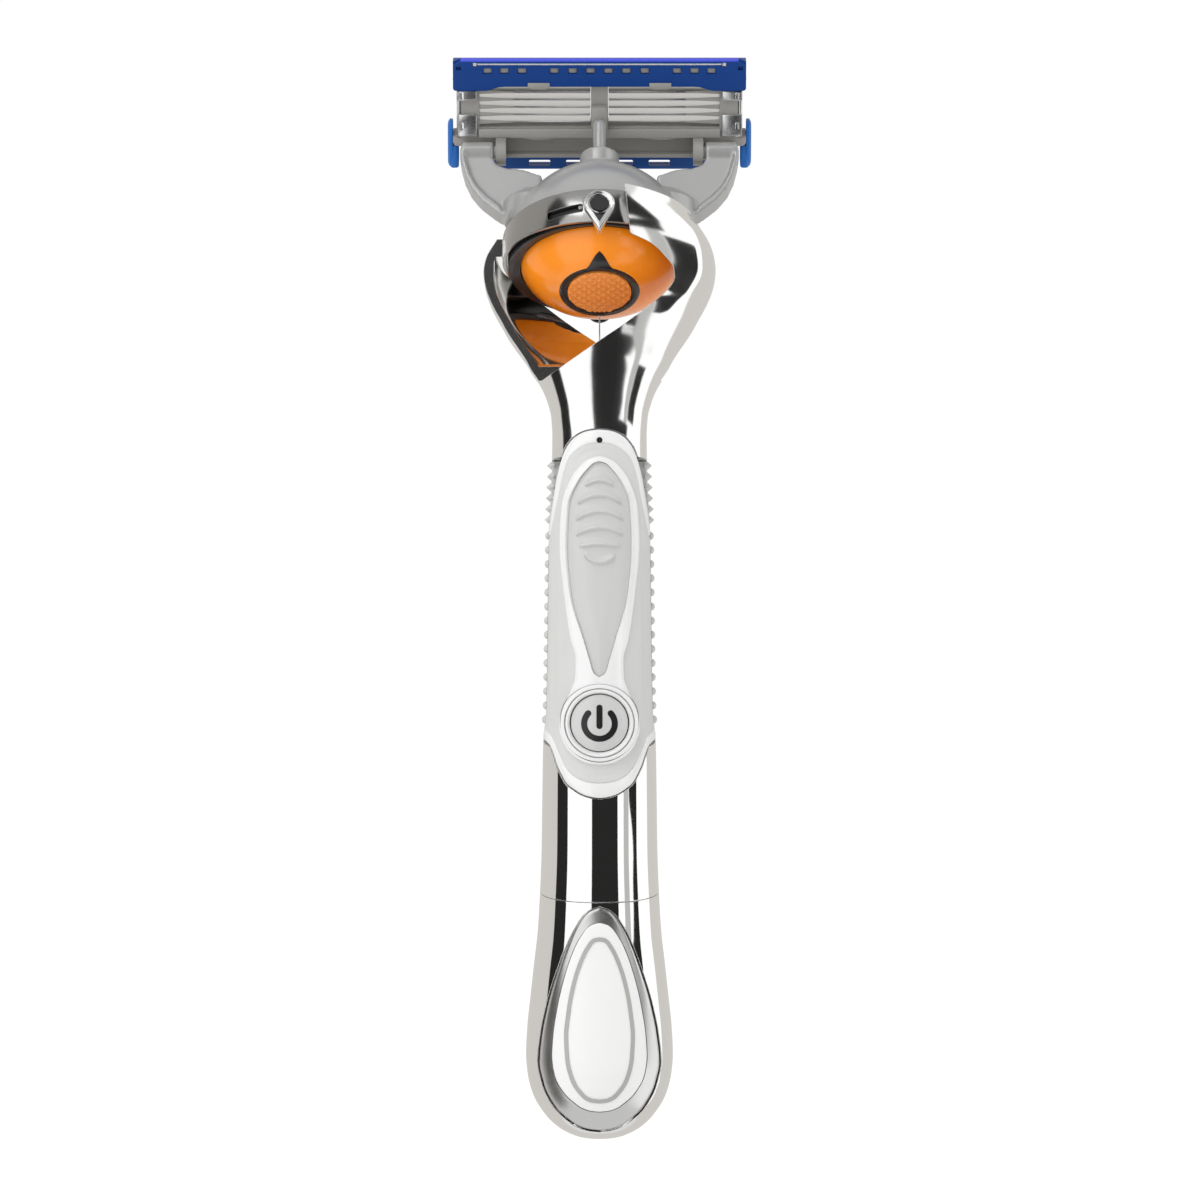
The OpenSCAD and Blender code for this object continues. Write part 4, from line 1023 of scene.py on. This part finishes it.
def coil(name, radius, wire, low, high, turns, matrix, steps=26):
    """Helical spring with closed ends."""
    t = np.linspace(0, 1, turns * steps)[:, None]
    a = 2 * math.pi * turns * t
    u = low + (high - low) * np.clip((t - 0.12) / 0.76, 0, 1)
    r, rise = radius + wire * np.cos(full_turn(10)), wire * np.sin(full_turn(10))
    return loft(name, np.stack([r * np.cos(a), r * np.sin(a), u + rise], -1), matrix=matrix)


def ejector_spring():
    spring = coil("ejector_spring_coil", 3.1, 0.22, 2.3, 4.7, 5, HEAD)
    finish_piece(spring, "ball_head", "spring_steel", ("ejector_spring",), angle=50)
    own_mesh(spring)


ejector_spring()
band()
bezel()
bulb()
surround()


# ---- yoke
DOME_R, DOME_U, PLUNGER_Y, PIVOT_U = 12.6, 1.2, -4.1, 17.4
ARM = [
    (10.5, 6.0), (13.3, 6.2), (14.6, 7.1), (16.4, 8.7), (17.8, 10.6), (18.7, 12.7), (19.25, 15),
    (19.5, 17.2), (19.4, 17.9), (18.9, 18.25), (15.6, 18.3), (15.0, 18.0), (14.85, 17.2), (14.8, 15.9),
    (14.5, 15.1), (13.8, 14.6), (12.6, 14.25), (10.6, 14.05), (8.0, 13.0), (8.0, 8.6),
]
ARM_RIM = [
    (13.4, 6.2), (14.6, 7.1), (16.4, 8.7), (17.8, 10.6), (18.7, 12.7), (19.25, 15), (19.5, 17.2),
    (19.0, 17.3), (18.6, 15.2), (18.0, 13.0), (17.1, 11.2), (15.7, 9.5), (13.7, 7.7),
]


def melt(obj, voxel, passes):
    """Merges overlapping solids into one skin and softens its inner corners."""
    modifier(obj, "REMESH", mode="VOXEL", voxel_size=voxel * MM)
    modifier(obj, "SMOOTH", factor=0.5, iterations=passes)
    return bake(obj)


def dome_profile():
    turns = np.linspace(0.075, math.pi / 2, 40)
    top = [(DOME_R * math.cos(t), DOME_U + DOME_R * math.sin(t)) for t in turns]
    return [(0, 2.1), (top[0][0] - 0.15, 2.1), (top[0][0], 2.2)] + top[1:-1] + [(0, DOME_U + DOME_R)]


def shoulder():
    """Cross-bar over the dome that the arms grow out of."""
    t = full_turn(64)
    rings = []
    levels = [(5.5, 13.2, 3.6), (6.2, 13.4, 4.4), (8.6, 13.4, 4.5), (9.5, 12.6, 3.6), (10.8, 10.5, 2.4)]
    for u, wide, deep in levels:
        x, y = wide * spow(np.cos(t), 0.45), deep * spow(np.sin(t), 0.9)
        rings.append(np.stack([x, y, 0 * x + u], -1))
    return loft("shoulder", np.array(rings), matrix=HEAD)


def axle(side):
    """Frame on the cartridge's pivot line, local Z outward."""
    return frame_matrix(BALL, HEAD_UP, HEAD_OUT * -side, X * side) @ Matrix.Translation((PIVOT_U, 0, 0))


def yoke():
    parts = [lathe("dome", dome_profile(), 144, HEAD), shoulder()]
    boss = [(0, 14.8), (1.5, 14.8), (1.55, 15), (1.55, 19.2), (0, 19.2)]
    for side in (1, -1):
        parts.append(prism("web", mirrored(ARM, side), -0.95, 0.95, HEAD))
        parts.append(prism("rim", mirrored(ARM_RIM, side), -1.45, 1.45, HEAD))
        parts.append(lathe("boss", boss, 32, axle(side)))
    collar = HEAD @ Matrix.Translation((0, PLUNGER_Y, 0))
    parts.append(lathe("collar", [(0, 11), (2.75, 11), (2.75, 14.0), (2.6, 14.2), (0, 14.2)], 64, collar))
    skin = melt(join("yoke_skin", *parts), 0.17, 9)
    hollow = [
        (0, 1.5), (10.95, 1.5), (10.9, 4.0), (10.2, 5.3), (9.2, 6.9), (8.0, 8.7), (3.2, 8.7),
        (3.0, 9.9), (0, 9.9),
    ]
    carve(skin, lathe("hollow", hollow, 96, HEAD), drill(1.05, 7, 18, collar, 40))
    pin = [(0, 13.05), (0.85, 13.05), (1.0, 13.2), (1.0, 15.2), (0, 15.2)]
    pins = pair(lambda side: lathe("pin", pin, 40, axle(side)))
    nodes = ("yoke_hub", "yoke_arm_right", "yoke_arm_left")
    finish_piece(join("yoke_blend", skin, *pins), "yoke", "yoke_grey", nodes, angle=60)


def plunger():
    axis = HEAD @ Matrix.Translation((0, PLUNGER_Y, 0))
    profile = [(0, 10.6), (1.7, 10.6), (1.7, 11.4), (0.9, 11.45), (0.9, 19.2)]
    turns = np.linspace(0.15, math.pi / 2 - 0.1, 10)
    profile += [(0.9 * math.cos(t), 19.2 + 0.9 * math.sin(t)) for t in turns] + [(0, 20.1)]
    pin = lathe("plunger_pin_skin", profile, 64, axis)
    finish_piece(pin, "plunger", "yoke_grey", ("plunger_pin",), angle=40)


yoke()
plunger()


# ---- cartridge
HALF, BACK_Y = 20.5, 1.6
WIN_LOW, WIN_TOP, WIN_W, BLADE_PITCH = 3.25, 9.35, 16.8, 1.1
NOTCHES = [side * x for side in (1, -1) for x in (1.25, 3.75, 6.3, 10.8, 13.25, 15.6)]


def side_box(name, side, low, high, bevel=0.0, segments=2):
    xs = sorted((side * low[0], side * high[0]))
    return box_piece(name, (xs[0], low[1], low[2]), (xs[1], high[1], high[2]), CART, bevel, segments)


def cross_frame(side):
    """Local Z along the cartridge's X, outward on the given side."""
    axis = X * side
    return frame_matrix(PIVOT, CART_UP, np.cross(axis, CART_UP), axis)


def housing_outline():
    """Back view of the blade housing, with its lower corners eased."""
    right = [
        (19.6, 11.9), (20.35, 11.2), (20.5, 10.1), (20.5, 1.0), (20.3, 0.5), (19.9, 0.4),
        (15.2, 0.4), (15.2, -0.9), (14.8, -1.3),
    ]
    return both_sides(right)


def housing():
    body = prism("housing", housing_outline(), BACK_Y, 5.8, CART, 0.22, 3)
    cut = []
    for side in (1, -1):
        cut.append(side_box("window", side, (1.2, 0.6, WIN_LOW), (WIN_W, 7.2, WIN_TOP)))
        cut.append(side_box("clip_slot", side, (HALF - 1.15, 0.6, 1.7), (HALF + 1, 7.2, 10.1)))
    cut.append(box_piece("recess", (-13.05, 0.6, -0.75), (13.05, 3.0, 1.7), CART))
    cut.append(box_piece("trimmer_slot", (-17.1, 2.4, 11.0), (17.1, 7.2, 11.45), CART))
    cut.append(box_piece("guard_seat", (-19, 4.2, -4.3), (19, 7.2, 0.7), CART))
    carve(body, *cut)
    parts = [body]
    for side in (1, -1):
        parts.append(lug(side))
        parts += wedges(side)
        parts.append(bead(side))
        parts.append(side_box("snap_tab", side, (6.95, 0.62, 9.3), (10.0, 0.8, 10.05), 0.08))
        parts.append(side_box("tab_foot", side, (7.3, 0.7, 9.05), (9.65, 1.9, 9.38), 0.08))
    parts.append(cam_rib())
    parts.append(box_piece("beam_lip", (-16.9, 1.1, 1.75), (16.9, 1.7, 3.1), CART, 0.18, 3))
    whole = join("blade_housing_skin", *parts)
    finish_piece(whole, "cartridge", "housing_grey", ("blade_housing",))


def lug(side):
    """Half-round ear with the hole for the yoke's pin."""
    ring = [(1.8 * math.cos(v), -1.8 * math.sin(v)) for v in np.linspace(0, math.pi, 24)]
    ear = ring + [(-1.8, BACK_Y + 0.1), (1.8, BACK_Y + 0.1)]
    points = [(side * x, y, z) for x in (13.1, 14.5) for z, y in ear]
    piece = make_mesh("lug", points, wall_faces(len(ear)), CART)
    return carve(piece, drill(1.06, 12, 16, cross_frame(side), 40))


def wedges(side):
    """Tapered bars that hold the blades' outer ends."""
    edge = [(17.0, -0.34), (12.6, -0.12), (12.0, -0.1), (12.0, 0.1), (12.6, 0.12), (17.0, 0.34)]
    out = []
    for i in range(5):
        points = [(side * x, WIN_LOW + 0.75 + BLADE_PITCH * i + z) for x, z in edge]
        out.append(prism("wedge", points, 1.68, 1.86, CART, 0.05))
    return out


def bead(side):
    t = full_turn(40)
    rings = []
    for k in np.linspace(0, math.pi / 2 - 0.05, 7):
        x, z = 3.1 * math.cos(k) * np.cos(t), 0.85 * math.cos(k) * np.sin(t)
        rings.append(np.stack([8.5 * side + x, 0 * x + 1.72 - 0.62 * math.sin(k), z + 2.15], -1))
    return loft("bead", np.array(rings), matrix=CART)


def cam_rib():
    right = [(0.9, 6.6), (1.1, 6.4), (1.1, 3.3), (0.95, 3.2)]
    return prism("cam_rib", both_sides(right), 0.0, BACK_Y + 0.15, CART, 0.1)


def cover_outline():
    """Back view of the blue cover: chamfered upper corners, stepped lower edge."""
    right = [
        (19.5, 13.2), (20.3, 12.7), (20.45, 12.3), (20.45, 9.05), (20.2, 8.8), (15.8, 8.8), (15.2, 8.95),
        (14.0, 9.35), (13.2, 9.4),
    ]
    return both_sides(right)


def cover_flange():
    """Top of the cover, sloping down to the shaving side."""
    side_view = [(1.2, 12.2), (1.55, 11.95), (5.75, 11.95), (5.75, 12.1), (1.7, 13.35), (1.2, 13.35)]
    rings = []
    for x, ease in ((-20.45, 0.35), (-19.6, 0.0), (19.6, 0.0), (20.45, 0.35)):
        rings.append([(x, y, z - ease * (z > 12.5)) for y, z in side_view])
    return loft("cover_flange", np.array(rings), matrix=CART)


def cover():
    plate = prism("cover_plate", cover_outline(), 0.8, 1.57, CART, 0.22, 3)
    cut = []
    for x in NOTCHES:
        cut.append(box_piece("notch", (x - 0.62, 0, 11.35), (x + 0.62, 1.25, 12.15), CART, 0.08))
    cut.append(box_piece("trim_line", (-17.1, 0, 12.55), (17.1, 1.05, 12.85), CART))
    for side in (1, -1):
        cut.append(side_box("eye", side, (HALF - 1.2, 0, 11.9), (HALF - 0.5, 1.2, 12.4)))
        cut.append(side_box("end", side, (17.1, 0, 12.35), (17.7, 1.15, 12.95)))
    carve(plate, *cut)
    whole = join("back_cover_skin", plate, cover_flange())
    finish_piece(whole, "cartridge", "cover_blue", ("back_cover",))
    teeth = [box_piece("tooth", (x - 0.58, 1.1, 11.4), (x + 0.58, 1.3, 12.1), CART, 0.06) for x in NOTCHES]
    finish_piece(join("comb_teeth", *teeth), "cartridge", "housing_grey")
    line = box_piece("trim_line_fill", (-17.0, 1.0, 12.57), (17.0, 1.12, 12.83), CART)
    ends = pair(lambda side: side_box("end_fill", side, (17.15, 1.08, 12.4), (17.65, 1.2, 12.9)))
    finish_piece(join("cover_line", line, *ends), "cartridge", "white_gloss", look="badge_white")
    edge = box_piece("cover_edge_skin", (-19.4, 0.86, 12.98), (19.4, 1.7, 13.4), CART, 0.1)
    finish_piece(edge, "cartridge", "cover_blue", look="cover_edge")


def lubricating_strip():
    strip = box_piece("lubricating_strip_skin", (-17.5, 5.8, 9.6), (17.5, 6.78, 10.85), CART, 0.35, 4)
    finish_piece(strip, "cartridge", "strip_green", ("lubricating_strip",), angle=40)


def guard():
    right = [(18.2, 0.6), (18.9, -0.1), (18.9, -2.9), (18.4, -3.7), (17.6, -3.9)]
    base = prism("guard", both_sides(right), 4.25, 5.4, CART, 0.25, 3)
    slots = (-8.4, -3.2, 3.2, 8.4)
    carve(base, *[box_piece("slot", (x - 1.5, 3, -3.4), (x + 1.5, 7, -2.5), CART, 0.2) for x in slots])
    fins = []
    for i in range(6):
        z = -3.6 + 0.7 * i
        if i != 1:
            fins.append(box_piece("fin", (-18.2, 5.3, z), (18.2, 6.08, z + 0.24), CART, 0.08))
    whole = join("guard_fins_skin", base, *fins)
    finish_piece(whole, "cartridge", "guard_blue", ("guard_fins",), look="guard_deep")


def wing(side):
    """End guard: a blade-like cheek outside the housing."""
    t = full_turn(72)
    rings = []
    for x, grow in ((20.52, -0.1), (20.6, 0.0), (20.95, 0.0), (21.15, -0.25), (21.25, -0.6)):
        y = 4.0 + (1.8 + grow) * spow(np.cos(t), 0.7)
        z = 0.2 + (3.4 + grow) * spow(np.sin(t), 0.8)
        rings.append(np.stack([0 * y + side * x, y, z], -1))
    cheek = loft("wing", np.array(rings), matrix=CART)
    toe = side_box("toe", side, (19.7, 2.3, -3.1), (20.9, 5.7, 0.3), 0.35, 3)
    return join("wing", cheek, toe)


def clip(side):
    """Bent metal clip: a strap round the housing's end with two feet on its back."""
    parts = [side_box("strap", side, (19.4, 1.7, 2.3), (19.95, 6.4, 9.8), 0.2, 3)]
    parts.append(side_box("front", side, (17.6, 5.85, 2.3), (19.95, 6.4, 9.2), 0.2, 3))
    for low, high in ((7.3, 8.75), (2.0, 5.25)):
        foot = side_box("foot", side, (17.1, 1.0, low), (19.95, 1.57, high), 0.2, 3)
        mid = (low + high) / 2
        hole = side_box("hole", side, (18.95, 0.5, mid - 0.5), (19.55, 1.3, mid + 0.5), 0.1)
        parts.append(carve(foot, hole))
        parts.append(side_box("bend", side, (19.4, 1.0, low), (19.95, 2.0, high), 0.2, 3))
    name = {1: "clip_right", -1: "clip_left"}[side]
    finish_piece(join(name + "_skin", *parts), "cartridge", "clip_metal", (name,), angle=40)


housing()
cover()
lubricating_strip()
guard()
finish_piece(join("guard_wings_skin", *pair(wing)), "cartridge", "guard_blue", ("guard_wings",))
pair(clip)


# ---- studio
WHITE, GREY, WARM, DARK = (1, 1, 1), (0.5, 0.5, 0.49), (0.62, 0.60, 0.57), (0.012, 0.012, 0.012)
CARD_LOW, CARD_HIGH = -900, 900
# name, azimuths, radius, lower and upper edge, shade, strength
CARDS = [
    ("flag_middle", (-9, 28), 600, CARD_LOW, CARD_HIGH, DARK, 1),
    ("white_right", (28, 111), 640, CARD_LOW, CARD_HIGH, WHITE, 1.1),
    ("white_left", (-60, -9), 640, CARD_LOW, CARD_HIGH, WHITE, 1.1),
    ("flag_left", (-91, -60), 600, CARD_LOW, CARD_HIGH, DARK, 1),
    ("flag_thin", (41, 53), 600, CARD_LOW, CARD_HIGH, GREY, 1),
    ("flag_low", (28, 42), 570, -420, -250, DARK, 1),
    ("flag_side", (54, 75), 560, -190, 190, DARK, 1),
    ("flag_high", (25, 58), 560, 240, 1500, DARK, 1),
    ("backdrop", (111, 269), 650, CARD_LOW, CARD_HIGH, WARM, 1),
]


def stage(obj, hidden):
    """A studio piece, which the named kinds of ray don't meet."""
    for ray in hidden:
        setattr(obj, "visible_" + ray, False)


def glow(obj, shade, strength):
    """Gives a studio piece a plain grey light of its own."""
    mat = plain_material(obj.name, Base_Color=(0, 0, 0, 1), Roughness=1,
                         Emission_Color=shade + (1,), Emission_Strength=strength)
    obj.data.materials.append(mat)


def card(name, azimuths, radius, low, high, shade, strength):
    """A curved card round the razor, seen only in its reflections. Azimuth 0 is the camera's side."""
    a = np.radians(np.linspace(*azimuths, 33))
    points = [(radius * math.sin(t), -radius * math.cos(t), z) for z in (low, high) for t in a]
    obj = make_mesh(name, points, grid_faces(2, len(a)))
    glow(obj, shade, strength)
    stage(obj, ("camera", "diffuse", "shadow", "transmission"))


def key_light(at, size, power):
    data = bpy.data.lights.new("key", "AREA")
    data.size = size
    data.energy = power
    obj = add_object("key", data)
    obj.location = at
    obj.rotation_euler = (-Vector(at)).to_track_quat("-Z", "Y").to_euler()


def floor():
    # the razor is held, not stood, so the floor lies below its cap at full pull
    z = (CAD_BOX[0][2] - JOINTS["cap_pull"]["range_m"][1] - 0.0005) / MM
    half = 3000
    corners = [(-half, -half, z), (half, -half, z), (half, half, z), (-half, half, z)]
    obj = make_mesh("floor", corners, [(0, 1, 2, 3)])
    obj.data.materials.append(floor_material())
    stage(obj, ("glossy",))
    # a white sweep that only the camera sees, so the picture's ground is plain
    sweep = lathe("sweep", [(2500, -200), (2500, 2500), (0, 2600)], 64)
    glow(sweep, WHITE, 1.0)
    stage(sweep, ("diffuse", "glossy", "shadow", "transmission"))


def studio():
    scene = bpy.context.scene
    scene.view_settings.view_transform = "Standard"
    scene.world = bpy.data.worlds.new("studio")
    scene.world.use_nodes = True
    set_inputs(scene.world.node_tree.nodes["Background"], Color=(1, 1, 1, 1), Strength=0.72)
    floor()
    for row in CARDS:
        card(*row)
    key_light((-0.5, -0.7, 0.8), 0.8, 5)


def floor_material():
    """Pale matt floor that fades into the plain white ground away from the razor."""
    pale = (0.9, 0.9, 0.9, 1)
    mat = plain_material("floor", Roughness=0.9, Emission_Color=(1, 1, 1, 1))
    nodes, links = mat.node_tree.nodes, mat.node_tree.links
    shader = nodes["Principled BSDF"]
    coords = nodes.new("ShaderNodeTexCoord")
    length = nodes.new("ShaderNodeVectorMath")
    length.operation = "LENGTH"
    links.new(coords.outputs["Object"], length.inputs[0])
    spread = set_inputs(nodes.new("ShaderNodeMapRange"), From_Min=0.09, From_Max=0.3)
    spread.interpolation_type = "SMOOTHSTEP"
    links.new(length.outputs["Value"], spread.inputs["Value"])
    links.new(spread.outputs["Result"], shader.inputs["Emission Strength"])
    tint = nodes.new("ShaderNodeMix")
    tint.data_type = "RGBA"
    set_inputs(tint, A=pale, B=(0, 0, 0, 1))
    links.new(spread.outputs["Result"], tint.inputs["Factor"])
    links.new(tint.outputs["Result"], shader.inputs["Base Color"])
    return mat


def camera():
    data = bpy.data.cameras.new("camera")
    data.lens = 250
    data.sensor_width = 36
    data.clip_end = 20
    obj = add_object("camera", data)
    obj.location = (0.00007, -1.147, -0.00963)
    obj.rotation_euler = (math.pi / 2, 0, 0)
    bpy.context.scene.camera = obj


studio()
camera()
